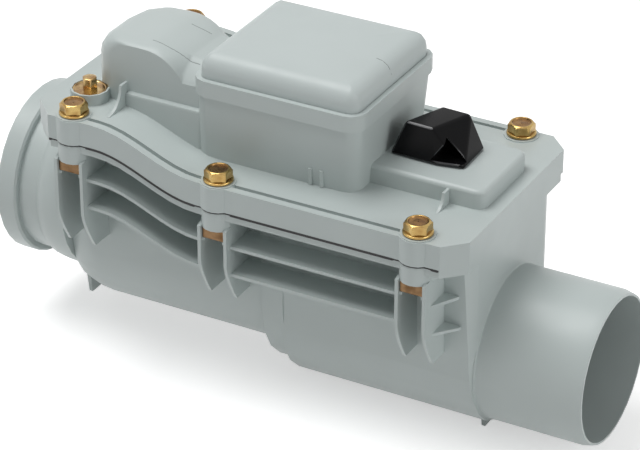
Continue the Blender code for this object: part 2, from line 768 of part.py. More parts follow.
def fin_outline(top, tip_z):
    """Section outline of a fin: straight beside the nut, then drawn in to a pointed nose."""
    inner = LEFT_RADIUS - 2 * WALL
    reach = BOLT_Y + FIN_REACH
    outline = [(inner, top - OVERLAP), (reach, top - BOSS_HEIGHT + OVERLAP / 2)]
    for i in range(6):
        share = i / 5
        outline.append((reach - FIN_NOSE_DEPTH * share ** FIN_NOSE_POWER,
                        tip_z + FIN_NOSE_HEIGHT * (1 - share)))
    return outline + [(inner, tip_z)]


def nut_nub(x, side, high):
    """Small stop under a corner of the square nut."""
    y = side * (BOLT_Y + NUT_SIDE / 2 - NUB_SIZE)
    return block("nut_nub", (x - NUB_SIZE, y - NUB_SIZE, high - NUB_SIZE),
                 (x + NUB_SIZE, y + NUB_SIZE, high), parts)


def rib_solids():
    """Long ribs that follow the parting line, and the small gussets past the last bolt."""
    made = []
    for drop in RIB_DROPS:
        for x0, x1 in zip(BOLT_X, BOLT_X[1:]):
            outline = band(x0 + FIN_OUTER - FIN_THICKNESS / 2, x1 - FIN_OUTER + FIN_THICKNESS / 2,
                           -drop + RIB_THICKNESS / 2, -drop - RIB_THICKNESS / 2)
            made.append(prism("rib", outline, -RIB_HALF_WIDTH, RIB_HALF_WIDTH, SIDE, parts))
    start = BOLT_X[-1] + FIN_OUTER - FIN_THICKNESS / 2
    for drop in GUSSET_DROPS:
        z = PARTING_Z - drop
        for side in (-1, 1):
            outline = [(start, side * (LEFT_RADIUS - WALL)),
                       (start + GUSSET_RUN, side * (LEFT_RADIUS - WALL)),
                       (start + GUSSET_RUN, side * RIGHT_RADIUS), (start, side * RIB_HALF_WIDTH)]
            made.append(prism("gusset", outline, z - RIB_THICKNESS / 2, z + RIB_THICKNESS / 2, PLAN, parts))
    return made


def foot_solids():
    """Three plates across the valve, each under a different part of the floor."""
    made = []
    for x, low, high in zip(FOOT_X, FOOT_BOTTOM_Z, FOOT_TOP_Z):
        outline = [(-FOOT_HALF_WIDTH, low), (FOOT_HALF_WIDTH, low),
                   (FOOT_HALF_WIDTH + FOOT_FLARE, high), (-FOOT_HALF_WIDTH - FOOT_FLARE, high)]
        made.append(prism("foot", outline, x - FOOT_THICKNESS / 2, x + FOOT_THICKNESS / 2, SECTION, parts))
    return made


def seat_nozzle(name, wall_x, axis_z, hinge):
    """Ring that stands out from a wall and ends in the slanted seat face."""
    ring = drum(name, SEAT_RADIUS, wall_x - WALL / 2, wall_x + 4 * SEAT_STAND, along_x(axis_z), parts,
                ROUND_STEPS)
    beyond = block(name + "_face", (-SEAT_TO_HINGE, -BOLT_Y, -2 * BOLT_Y), (BOLT_Y, BOLT_Y, BOLT_Y), parts,
                   tilted(hinge))
    return cut(ring, beyond)


def hinge_ears(name, wall_x, hinge):
    """Two ears that carry the hinge pin."""
    made = []
    for side in (-1, 1):
        inner = HINGE_ARM_Y + HINGE_ARM_WIDTH / 2 + HINGE_SIDE_PLAY
        low, high = sorted((side * inner, side * (inner + HINGE_EAR_WIDTH)))
        outline = arc(hinge.x, hinge.z, HINGE_EYE_RADIUS, -90, 90, 6)
        outline += [(wall_x - WALL / 2, hinge.z + HINGE_EYE_RADIUS),
                    (wall_x - WALL / 2, hinge.z - HINGE_EYE_RADIUS)]
        made.append(prism(f"{name}_{side + 1}", outline, low, high, SIDE, parts))
    return made


def pin_hole(name, hinge):
    place = Matrix.Translation(hinge) @ ALONG_Y
    return drum(name, HINGE_PIN_RADIUS + SEAT_GAP, -2 * HINGE_ARM_Y, 2 * HINGE_ARM_Y, place, parts)


def bore_solids():
    """Socket bore with its seal groove, the two seat bores and the spigot bore."""
    start = SOCKET_END_X
    groove = start + SEAL_GROOVE_START
    mouth = SOCKET_BORE + COLLAR_EDGE
    profile = [(0, start - OVERLAP), (mouth, start - OVERLAP), (mouth, start),
               (SOCKET_BORE, start + COLLAR_EDGE),
               (SOCKET_BORE, groove), (SOCKET_BORE + SEAL_GROOVE_DEPTH, groove),
               (SOCKET_BORE + SEAL_GROOVE_DEPTH, groove + SEAL_GROOVE_LENGTH),
               (SOCKET_BORE, groove + SEAL_GROOVE_LENGTH), (SOCKET_BORE, start + SOCKET_STOP),
               (0, start + SOCKET_STOP)]
    socket = turned("socket_bore", profile[::-1], along_x(INLET_AXIS_Z), parts, PIPE_STEPS)
    inlet = drum("inlet_bore", SEAT_BORE, start + SOCKET_STOP - OVERLAP, INLET_WALL_X + 4 * SEAT_STAND,
                 along_x(INLET_AXIS_Z), parts, ROUND_STEPS)
    outlet = drum("outlet_bore", SEAT_BORE, STEP_X - OVERLAP, OUTLET_WALL_X + 4 * SEAT_STAND,
                  along_x(OUTLET_AXIS_Z), parts, ROUND_STEPS)
    spigot = drum("spigot_bore", PIPE_RADIUS - PIPE_WALL, BODY_RIGHT_X - WALL - OVERLAP,
                  SPIGOT_END_X + OVERLAP, along_x(OUTLET_AXIS_Z), parts, PIPE_STEPS)
    return [socket, inlet, outlet, spigot]


def bolt_holes(name):
    return [drum(f"{name}_{number}", BOLT_RADIUS + BOLT_CLEARANCE, PARTING_Z - 2 * BOSS_HEIGHT,
                 HIGH_DECK_Z + BOSS_HEIGHT,
                 upright(x, y), parts) for number, x, y in bolts()]


def gasket_path():
    """Rounded loop round both openings, on the S of the parting line."""
    x0 = BODY_LEFT_X + GASKET_END_INSET
    x1 = BODY_RIGHT_X - GASKET_END_INSET
    half = GASKET_HALF_WIDTH
    turn = GASKET_CORNER
    ramp = parting_stations(x0 + turn, x1 - turn)[1:-1]
    plan = arc(x1 - turn, half - turn, turn, 0, 90, CORNER_STEPS)
    plan += [(x, half) for x in ramp[::-1]]
    plan += arc(x0 + turn, half - turn, turn, 90, 180, CORNER_STEPS)
    plan += arc(x0 + turn, turn - half, turn, 180, 270, CORNER_STEPS)
    plan += [(x, -half) for x in ramp]
    plan += arc(x1 - turn, turn - half, turn, 270, 360, CORNER_STEPS)
    return [(x, y, parting_z(x) + PARTING_GAP / 2) for x, y in plan]


def gasket_cords(name, radius):
    """The loop and the bar of the gasket, as two cords that cross."""
    z = PARTING_Z + PARTING_GAP / 2
    bar = [(STEP_X, y, z) for y in (-GASKET_HALF_WIDTH, GASKET_HALF_WIDTH)]
    return [tube(name + "_loop", gasket_path(), radius, True, parts),
            tube(name + "_bar", bar, radius - GASKET_BAR_THINNER, False, parts)]


def make_body(skin):
    body = chamber_solids()
    body, others = body[0], body[1:]
    body.name = "valve_body"
    join(body, *others)
    keep_common(body, side_outline("under_parting_line"))
    flange = prism("flange", band(COVER_LEFT_X - OVERLAP, COVER_RIGHT_X + OVERLAP, 0, -FLANGE_THICKNESS),
                   -2 * BOLT_Y, 2 * BOLT_Y, SIDE, parts)
    keep_common(flange, prism("flange_plan", cover_plan(FLANGE_INSET), 0, CAP_TOP_Z, PLAN, parts))
    join(body, flange, socket_solid(), spigot_solid(), *bolt_boss_solids(), *rib_solids(), *foot_solids())
    cut(body, *cavity_solids(),
        *flange_openings("flange_opening", 0, PARTING_Z - 2 * FLANGE_THICKNESS, DECK_Z + RAMP_RISE))
    join(body, seat_nozzle("inlet_seat", INLET_WALL_X, INLET_AXIS_Z, INLET_HINGE),
         seat_nozzle("outlet_seat", OUTLET_WALL_X, OUTLET_AXIS_Z, OUTLET_HINGE),
         *hinge_ears("inlet_ear", INLET_WALL_X, INLET_HINGE), *hinge_ears("outlet_ear", OUTLET_WALL_X,
                                                                          OUTLET_HINGE))
    cut(body, *bore_solids(), pin_hole("inlet_pin_hole", INLET_HINGE),
        pin_hole("outlet_pin_hole", OUTLET_HINGE),
        *bolt_holes("body_bolt_hole"))
    cut(body, *gasket_cords("body_gasket_groove", GASKET_RADIUS + SEAT_GAP))
    weld(body)
    return dress(body, skin)


# Cover

def saddle_z(x):
    """Height of the hollow curve that runs from the dome's back to the top of the dry box."""
    along = min(max((x - SADDLE_LEFT_X) / (BOX_LEFT_X - SADDLE_LEFT_X), 0.0), 1.0)
    share = 0.5 + 0.5 * math.cos(math.pi * along)
    return HIGH_DECK_Z + SADDLE_RIGHT_RISE + (SADDLE_LEFT_RISE - SADDLE_RIGHT_RISE) * share


def dome_outline(wall, edge, draw_in, saddle, floor_z):
    """Side outline of the dome: flat and round on top, with a shelf or a saddle up to the dry box."""
    shrink = wall + edge
    radius = DOME_RADIUS - shrink
    left = DOME_LEFT_X + shrink + draw_in
    corner = DOME_CORNER + draw_in / 5 - shrink
    right = BOX_LEFT_X + OVERLAP - 2 * wall
    rise = DOME_SHELF_RISE - shrink
    back = [(right, DOME_AXIS_Z + rise)]
    back += arc(DOME_X, DOME_AXIS_Z, radius, math.degrees(math.asin(rise / radius)), 90, 8)
    back = [(x, z + saddle * max(saddle_z(x) - shrink - z, 0)) for x, z in back]
    return ([(right, floor_z)] + back
            + arc(left + corner, DOME_AXIS_Z + radius - corner, corner, 90, 180, 4) + [(left, floor_z)])


def dome_loft(name, wall, floor_z):
    """Dome between its two end faces, rounded at their edges and drawn in at the inlet wall."""
    turn = DOME_SIDE_ROUND - wall
    edge = max(DOME_EDGE - wall, 0)
    near = []
    far = []
    for i in range(4):
        inset = 1 - math.sin(math.radians(30 * i))
        along = 1 - math.cos(math.radians(30 * i))
        near.append((dome_outline(wall, edge * inset, (turn - edge) * inset, SADDLE_NEAR[i], floor_z),
                     DOME_NEAR_Y + wall + turn * along))
        far.append((dome_outline(wall, edge * inset, DOME_FAR_ROUND * inset, SADDLE_FAR[i], floor_z),
                    DOME_FAR_Y - wall - DOME_FAR_RUN * along))
    return loft(name, near + far[::-1], parts, SIDE)


def dome_solids():
    deck = HIGH_DECK_Z - DECK_THICKNESS / 2
    dome = dome_loft("dome", 0, DECK_Z)
    plinth = block("plinth", (DOME_FIN_X, DOME_NEAR_Y - PLINTH_PROUD, DECK_Z),
                   (BOX_LEFT_X + OVERLAP, DOME_FAR_Y + PLINTH_PROUD, HIGH_DECK_Z + PLINTH_HEIGHT), parts)
    round_edges(plinth, PLINTH_EDGE, 2)
    fin = [(DOME_NEAR_Y + OVERLAP, deck), (DOME_NEAR_Y - DOME_FIN_RUN, deck)]
    fin += arc(DOME_NEAR_Y - DOME_FIN_RUN, DOME_FIN_TOP_Z, DOME_FIN_TOP_Z - HIGH_DECK_Z, 270, 360, 5)
    fin += [(DOME_NEAR_Y + OVERLAP, DOME_FIN_TOP_Z)]
    fin = prism("dome_fin", fin, DOME_FIN_X - SMALL_FIN_THICKNESS / 2, DOME_FIN_X + SMALL_FIN_THICKNESS / 2,
                SECTION, parts)
    return [dome, plinth, fin]


def box_outline(grow, top=True):
    """Plan of the dry box, grown or shrunk from its outline at the shoulder."""
    dx = 0 if top else BOX_DRAFT_X
    dy = 0 if top else BOX_DRAFT_Y
    half = BOX_HALF_WIDTH + grow - dy
    radius = max(BOX_CORNER + grow, OVERLAP / 2)
    flare = 0 if top else BOX_LEFT_FLARE
    return rounded_rectangle(BOX_LEFT_X - grow - flare, BOX_RIGHT_X + grow - dx, -half, half, radius)


def box_solids():
    wall = loft("box_wall",
                [(box_outline(0, False), DECK_Z - DECK_THICKNESS / 2),
                 (box_outline(0), BOX_SHOULDER_Z + OVERLAP)],
                parts)
    rim = prism("box_rim", box_outline(RIM_PROUD), BOX_SHOULDER_Z, RIM_TOP_Z, PLAN, parts)
    made = [wall, rim]
    for x in BOX_RIB_X:
        near = -BOX_HALF_WIDTH + BOX_DRAFT_Y
        made.append(drum("box_rib", BOX_RIB_RADIUS, DECK_Z - OVERLAP, DECK_Z + BOX_RIB_HEIGHT,
                         upright(x, near), parts, 8))
    return made


def box_hollow():
    cavity = loft("box_cavity", [(box_outline(-BOX_WALL, False), DECK_Z + OVERLAP / 2),
                                 (box_outline(-BOX_WALL), BOX_SHOULDER_Z + OVERLAP)], parts)
    rebate = prism("cap_rebate", box_outline(RIM_PROUD - RIM_WALL), BOX_SHOULDER_Z, RIM_TOP_Z + OVERLAP,
                   PLAN, parts)
    return [cavity, rebate]


def platform_ring(inset):
    return rounded_rectangle(BOX_RIGHT_X - 4 * WALL + inset, PLATFORM_RIGHT_X - inset,
                             PLATFORM_NEAR_Y + inset,
                             PLATFORM_FAR_Y - inset, PLATFORM_CORNER - inset / 2)


def platform_solids():
    rings = [(platform_ring(0), DECK_Z - DECK_THICKNESS / 2),
             (platform_ring(0), PLATFORM_TOP_Z - PLATFORM_EDGE)]
    for i in range(1, 4):
        turn = math.radians(30 * i)
        rings.append((platform_ring(PLATFORM_EDGE * (1 - math.cos(turn))),
                      PLATFORM_TOP_Z - PLATFORM_EDGE * (1 - math.sin(turn))))
    platform = loft("platform", rings, parts)
    fin = [(PLATFORM_NEAR_Y + OVERLAP, DECK_Z - OVERLAP),
           (PLATFORM_NEAR_Y - PLATFORM_FIN_RUN, DECK_Z - OVERLAP)]
    fin += arc(PLATFORM_NEAR_Y - PLATFORM_FIN_RUN, PLATFORM_TOP_Z - PLATFORM_EDGE,
               PLATFORM_TOP_Z - PLATFORM_EDGE - DECK_Z, 270, 360, 5)
    fin += [(PLATFORM_NEAR_Y + OVERLAP, PLATFORM_TOP_Z - PLATFORM_EDGE)]
    fin = prism("platform_fin", fin, PLATFORM_FIN_X - SMALL_FIN_THICKNESS / 2,
                PLATFORM_FIN_X + SMALL_FIN_THICKNESS / 2, SECTION, parts)
    return [platform, fin]


def platform_hollow():
    low = PARTING_Z
    high = PLATFORM_TOP_Z - PLATFORM_WALL
    ring = rounded_rectangle(BOX_RIGHT_X + PLATFORM_WALL, PLATFORM_RIGHT_X - PLATFORM_WALL,
                             PLATFORM_NEAR_Y + PLATFORM_WALL, PLATFORM_FAR_Y - PLATFORM_WALL,
                             PLATFORM_CORNER / 2)
    return prism("platform_hollow", ring, low, high, PLAN, parts)


def skirt_slab(name, inset, high, low):
    """Slab under the deck that follows the parting line, within the cover's plan."""
    slab = prism(name, band(COVER_LEFT_X - OVERLAP, COVER_RIGHT_X + OVERLAP, high, low), -2 * BOLT_Y,
                 2 * BOLT_Y,
                 SIDE, parts)
    return keep_common(slab, prism(name + "_plan", cover_plan(inset), 0, CAP_TOP_Z, PLAN, parts))


def gasket_rim():
    """Wall under the deck that presses on the gasket, with a bar over the partition."""
    side = GASKET_RIM_WIDTH / 2
    outer = rounded_rectangle(BODY_LEFT_X + GASKET_END_INSET - side, BODY_RIGHT_X - GASKET_END_INSET + side,
                              -GASKET_HALF_WIDTH - side, GASKET_HALF_WIDTH + side, GASKET_CORNER + side)
    rim = prism("gasket_rim", band(COVER_LEFT_X - OVERLAP, COVER_RIGHT_X + OVERLAP,
                                   SKIRT_HEIGHT - DECK_THICKNESS / 2, PARTING_GAP), -2 * BOLT_Y, 2 * BOLT_Y,
                                   SIDE, parts)
    keep_common(rim, prism("gasket_rim_plan", outer, 0, CAP_TOP_Z, PLAN, parts))
    widen = GASKET_HALF_WIDTH - side - FLANGE_OPENING_HALF_WIDTH
    return cut(rim, *flange_openings("rim_opening", widen, 0, CAP_TOP_Z))


def groove_solids():
    made = []
    for side in (-1, 1):
        for x0, x1 in zip(BOLT_X, BOLT_X[1:]):
            low, high = sorted((side * GROOVE_INNER_Y, side * (GROOVE_INNER_Y + GROOVE_WIDTH)))
            outline = band(x0 + PAD_RADIUS - OVERLAP / 2, x1 - PAD_RADIUS + OVERLAP / 2, 2 * SKIRT_HEIGHT,
                           SKIRT_HEIGHT - GROOVE_DEPTH)
            made.append(prism("deck_groove", outline, low, high, SIDE, parts))
    return made


def make_cover(skin):
    cover = skirt_slab("cover", 0, SKIRT_HEIGHT, PARTING_GAP)
    cut(cover, skirt_slab("cover_pocket", SKIRT_WALL, SKIRT_HEIGHT - DECK_THICKNESS, -SKIRT_HEIGHT),
        *groove_solids())
    pads = []
    for number, x, y in bolts():
        top = parting_z(x) + SKIRT_HEIGHT
        pads.append(drum(f"pad_{number}", PAD_RADIUS - OVERLAP / 4, top - DECK_THICKNESS / 2,
                         top + PAD_PROUD,
                         upright(x, y), parts, BOSS_STEPS))
        pads.append(drum(f"cover_boss_{number}", COVER_BOSS_RADIUS, parting_z(x) + SEAT_GAP, top - OVERLAP,
                         upright(x, y), parts))
    cup = drum("plug_cup", CUP_RADIUS, HIGH_DECK_Z - DECK_THICKNESS / 2, HIGH_DECK_Z + CUP_HEIGHT,
               upright(PLUG_X, PLUG_Y), parts, BOSS_STEPS)
    lock_boss = drum("lock_boss", LOCK_BOSS_RADIUS, PLATFORM_TOP_Z - LOCK_BOSS_LENGTH,
                     PLATFORM_TOP_Z - PLATFORM_WALL / 2, upright(LOCK_X, LOCK_Y), parts, BOSS_STEPS)
    join(cover, *dome_solids(), *box_solids(), *platform_solids(), *pads, cup)
    hollow = dome_loft("dome_hollow", DOME_WALL, PARTING_Z)
    cut(cover, *box_hollow(), hollow, platform_hollow())
    join(cover, gasket_rim(), lock_boss)
    cup_top = HIGH_DECK_Z + CUP_HEIGHT
    plug_bore = drum("plug_bore", PLUG_SHANK_RADIUS + SEAT_GAP, PARTING_Z, cup_top, upright(PLUG_X, PLUG_Y),
                     parts,
                     BOSS_STEPS)
    cup_bore = drum("cup_bore", CUP_RADIUS - CUP_WALL, cup_top - CUP_DEPTH, cup_top + OVERLAP,
                    upright(PLUG_X, PLUG_Y), parts, BOSS_STEPS)
    lock_bore = drum("lock_bore", LOCK_HUB_RADIUS + SEAT_GAP, PLATFORM_TOP_Z - 2 * LOCK_BOSS_LENGTH,
                     PLATFORM_TOP_Z + OVERLAP, upright(LOCK_X, LOCK_Y), parts, ROUND_STEPS)
    cut(cover, plug_bore, cup_bore, lock_bore, *bolt_holes("cover_bolt_hole"))
    cut(cover, *gasket_cords("cover_gasket_groove", GASKET_RADIUS + SEAT_GAP))
    weld(cover)
    return dress(cover, skin)


def make_gasket(skin):
    gasket, bar = gasket_cords("cover_gasket", GASKET_RADIUS)
    gasket.name = "cover_gasket"
    join(gasket, bar)
    return dress(gasket, skin)


def cap_ring(inset):
    return box_outline(RIM_PROUD - RIM_WALL - SEAT_GAP - inset)


def cap_rings(shrink, foot_z):
    rings = [(cap_ring(shrink), foot_z), (cap_ring(shrink), CAP_TOP_Z - CAP_ROUND - CAP_CROWN)]
    for i in range(1, 5):
        turn = math.radians(22.5 * i)
        rings.append((cap_ring(shrink + (CAP_ROUND - shrink) * (1 - math.cos(turn)) * 0.98),
                      CAP_TOP_Z - CAP_CROWN - CAP_ROUND + (CAP_ROUND - shrink) * math.sin(turn)))
    return rings


def make_box_cap(skin):
    seal_top = BOX_SHOULDER_Z + SEAT_GAP + CAP_SEAL_HEIGHT
    outer = cap_rings(0, seal_top + SEAT_GAP)
    outer.append((cap_ring(3 * CAP_ROUND), CAP_TOP_Z))
    cap = loft("box_cap", outer, parts)
    cut(cap, loft("cap_hollow", cap_rings(CAP_WALL, seal_top - OVERLAP), parts))
    return dress(cap, skin)


def make_box_seal(skin):
    low = BOX_SHOULDER_Z + SEAT_GAP
    seal = prism("box_cap_seal", cap_ring(0), low, low + CAP_SEAL_HEIGHT, PLAN, parts)
    cut(seal, prism("seal_opening", box_outline(-BOX_WALL), low - OVERLAP, low + 2 * OVERLAP, PLAN, parts))
    return dress(seal, skin)


# Fasteners and seals

def make_bolt(number, x, y, skin):
    seat = parting_z(x) + SKIRT_HEIGHT + PAD_PROUD + 2 * SEAT_GAP + WASHER_THICKNESS
    nut_bottom = parting_z(x) - BOSS_HEIGHT - SEAT_GAP - NUT_HEIGHT
    corner = BOLT_HEAD_FLATS / math.sqrt(3)
    mesh = bpy.data.meshes.new(f"bolt_head_{number}")
    work = bmesh.new()
    bmesh.ops.create_cone(work, cap_ends=True, segments=6, radius1=corner, radius2=corner,
                          depth=BOLT_HEAD_HEIGHT, matrix=upright(x, y, seat + BOLT_HEAD_HEIGHT / 2))
    work.to_mesh(mesh)
    work.free()
    bolt = finish_mesh(f"cover_bolt_{number}", mesh, parts)
    crown = turned("bolt_crown", [(0, seat + BOLT_HEAD_HEIGHT + OVERLAP),
                                  (BOLT_HEAD_FLATS / 2 - BOLT_HEAD_CHAMFER,
                                   seat + BOLT_HEAD_HEIGHT + OVERLAP),
                                  (BOLT_HEAD_FLATS / 2 - BOLT_HEAD_CHAMFER, seat + BOLT_HEAD_HEIGHT),
                                  (corner + OVERLAP, seat + BOLT_HEAD_HEIGHT - 2 * BOLT_HEAD_CHAMFER),
                                  (corner + OVERLAP, seat - OVERLAP), (0, seat - OVERLAP)],
                   upright(x, y), parts, SMALL_STEPS)
    keep_common(bolt, crown)
    join(bolt,
         drum("shank", BOLT_RADIUS, nut_bottom - BOLT_END_PAST_NUT, seat + OVERLAP, upright(x, y), parts))
    return dress(bolt, skin)


def make_washer(number, x, y, skin):
    low = parting_z(x) + SKIRT_HEIGHT + PAD_PROUD + SEAT_GAP
    inner = BOLT_RADIUS + SEAT_GAP
    washer = turned(f"bolt_washer_{number}",
                    [(inner, low + WASHER_THICKNESS), (WASHER_RADIUS, low + WASHER_THICKNESS),
                     (WASHER_RADIUS, low), (inner, low)], upright(x, y), parts, BOSS_STEPS)
    return dress(washer, skin)


def make_nut(number, x, y, skin):
    high = parting_z(x) - BOSS_HEIGHT - SEAT_GAP
    half = NUT_SIDE / 2
    nut = block(f"square_nut_{number}", (x - half, y - half, high - NUT_HEIGHT), (x + half, y + half, high),
                parts)
    cut(nut,
        drum("nut_bore", BOLT_RADIUS + SEAT_GAP, high - 2 * NUT_HEIGHT, high + OVERLAP, upright(x, y),
             parts))
    return dress(nut, skin)


def make_lip_seal(skin):
    start = SOCKET_END_X + SEAL_GROOVE_START + SEAT_GAP
    end = start + SEAL_GROOVE_LENGTH - 2 * SEAT_GAP
    outer = SOCKET_BORE + SEAL_GROOVE_DEPTH - SEAT_GAP
    bed = SOCKET_BORE + SEAL_GROOVE_DEPTH / 3
    lip = PIPE_RADIUS - SEAL_LIP_SQUEEZE
    profile = [(outer, start), (bed, start), (lip, end - 3 * SEAL_LIP_SQUEEZE),
               (lip, end - 2 * SEAL_LIP_SQUEEZE),
               (bed, end - SEAL_LIP_SQUEEZE), (bed, end), (outer, end)]
    seal = turned("inlet_lip_seal", profile, along_x(INLET_AXIS_Z), parts, PIPE_STEPS)
    return dress(seal, skin)


def make_test_plug(skin):
    floor = HIGH_DECK_Z + CUP_HEIGHT - CUP_DEPTH
    seat = floor + 2 * SEAT_GAP + PLUG_SEAL_THICKNESS
    flange = CUP_RADIUS - CUP_WALL - SEAT_GAP
    plug = turned("test_plug",
                  [(0, seat + PLUG_FLANGE_THICKNESS), (flange - SEAT_GAP, seat + PLUG_FLANGE_THICKNESS),
                                (flange, seat + PLUG_FLANGE_THICKNESS / 2), (flange, seat),
                                (PLUG_SHANK_RADIUS, seat), (PLUG_SHANK_RADIUS, seat - PLUG_SHANK_LENGTH),
                                (0, seat - PLUG_SHANK_LENGTH)], upright(PLUG_X, PLUG_Y), parts, BOSS_STEPS)
    half = PLUG_STUB_SIDE / 2
    stub = block("plug_stub", (-half, -half, seat + PLUG_FLANGE_THICKNESS / 2),
                 (half, half, seat + PLUG_FLANGE_THICKNESS + PLUG_STUB_HEIGHT), parts,
                 upright(PLUG_X, PLUG_Y) @ Matrix.Rotation(math.radians(12), 4, "Z"))
    round_edges(stub, 0.0008, 2)
    join(plug, stub)
    return dress(plug, skin)


def make_plug_seal(skin):
    low = HIGH_DECK_Z + CUP_HEIGHT - CUP_DEPTH + SEAT_GAP
    inner = PLUG_SHANK_RADIUS + SEAT_GAP
    outer = CUP_RADIUS - CUP_WALL - 2 * SEAT_GAP
    seal = turned("test_plug_seal", [(inner, low + PLUG_SEAL_THICKNESS), (outer, low + PLUG_SEAL_THICKNESS),
                                     (outer, low), (inner, low)], upright(PLUG_X, PLUG_Y), parts, BOSS_STEPS)
    return dress(seal, skin)


# Flaps

def make_flap(name, hinge, skin, horn=False):
    """Dished disc with stiffening ribs, two hinge arms and, on the outlet flap, the lock horn."""
    frame = tilted(hinge)
    disc_frame = frame @ Matrix.Translation((0, 0, -HINGE_TO_FLAP_CENTRE)) @ ALONG_X
    front = -SEAT_TO_HINGE + SEAT_GAP + FLAP_GASKET_PROUD
    back = front + FLAP_THICKNESS
    groove_in = FLAP_GASKET_INNER - SEAT_GAP
    groove_out = FLAP_GASKET_OUTER + SEAT_GAP
    bed = front + FLAP_GASKET_THICKNESS - FLAP_GASKET_PROUD + SEAT_GAP
    edge = FLAP_THICKNESS / 4
    profile = [(0, back), (FLAP_RADIUS - edge, back), (FLAP_RADIUS, back - edge), (FLAP_RADIUS, front),
               (groove_out, front), (groove_out, bed), (groove_in, bed), (groove_in, front), (0, front)]
    flap = turned(name, profile, disc_frame, parts, ROUND_STEPS)
    tools = []
    rib = FLAP_RADIUS - FLAP_RIB_TO_EDGE
    for turn in (0, 90):
        place = disc_frame @ Matrix.Rotation(math.radians(turn + 45), 4, "Z")
        tools.append(block(f"{name}_rib", (-rib, -FLAP_RIB_WIDTH / 2, back - edge),
                           (rib, FLAP_RIB_WIDTH / 2, back + FLAP_RIB_HEIGHT), parts, place))
    tools.append(drum(f"{name}_button", 3 * FLAP_RIB_WIDTH, back - edge, back + FLAP_RIB_HEIGHT, disc_frame,
                      parts))
    eye = HINGE_EYE_RADIUS
    arm_front = back - 2 * edge
    arm = [(arm_front, -0.024), (back + FLAP_RIB_HEIGHT, -0.024), (back + FLAP_RIB_HEIGHT, -eye)]
    arm += arc(0, 0, eye, -60, 200, 8) + [(arm_front, -2 * eye)]
    for side in (-1, 1):
        low = side * HINGE_ARM_Y - HINGE_ARM_WIDTH / 2
        tools.append(prism(f"{name}_arm", arm, low, low + HINGE_ARM_WIDTH, frame @ SIDE, parts))
    if horn:
        tools.append(horn_solid(hinge))
    join(flap, *tools)
    cut(flap, pin_hole(name + "_eye_hole", hinge))
    return dress(flap, skin)


def horn_solid(hinge):
    """Horn that reaches under the lock finger when the outlet flap is shut."""
    top = hinge.z + FINGER_RISE - HORN_GAP
    tip = LOCK_X - FINGER_LENGTH + HORN_OVERLAP
    plate = hinge.x - SEAT_TO_HINGE + 2 * FLAP_GASKET_PROUD
    root = hinge.z - HORN_ROOT_DROP
    outline = [(plate + 0.0025, hinge.z - 0.013), (hinge.x + 0.0055, hinge.z - 0.006),
               (hinge.x + 0.0085, top), (tip, top),
               (tip, top - HORN_TIP_HEIGHT), (hinge.x + 0.014, root + 0.006),
               (plate + HORN_ROOT_DROP * math.tan(SEAT_TILT) + 0.001, root)]
    return prism("lock_horn", outline, LOCK_Y - HORN_WIDTH / 2, LOCK_Y + HORN_WIDTH / 2, SIDE, parts)


def make_flap_gasket(name, hinge, skin):
    frame = tilted(hinge) @ Matrix.Translation((0, 0, -HINGE_TO_FLAP_CENTRE)) @ ALONG_X
    front = -SEAT_TO_HINGE + SEAT_GAP
    back = front + FLAP_GASKET_THICKNESS
    profile = [(FLAP_GASKET_INNER, back), (FLAP_GASKET_OUTER, back),
               (FLAP_GASKET_OUTER, front + SEAT_GAP), (FLAP_GASKET_OUTER - SEAT_GAP,
                                                       front), (FLAP_GASKET_INNER, front)]
    return dress(turned(name, profile, frame, parts, ROUND_STEPS), skin)


def make_hinge_pin(name, hinge, skin):
    half = HINGE_ARM_Y + HINGE_ARM_WIDTH / 2 + HINGE_SIDE_PLAY + HINGE_EAR_WIDTH + HINGE_PIN_END
    radius = HINGE_PIN_RADIUS
    bevel = radius / 5
    profile = [(0, half), (radius - bevel, half), (radius, half - bevel), (radius, bevel - half),
               (radius - bevel, -half), (0, -half)]
    return dress(turned(name, profile, Matrix.Translation(hinge) @ ALONG_Y, parts, SMALL_STEPS), skin)


# Emergency lock

def lock_levels():
    """Heights of the finger, the boss, the clip and the handle's underside."""
    finger_low = OUTLET_HINGE.z + FINGER_RISE
    boss_low = PLATFORM_TOP_Z - LOCK_BOSS_LENGTH
    clip_high = boss_low - SEAT_GAP
    hub_low = boss_low - LOCK_HUB_PAST_BOSS
    return finger_low, boss_low, clip_high, hub_low


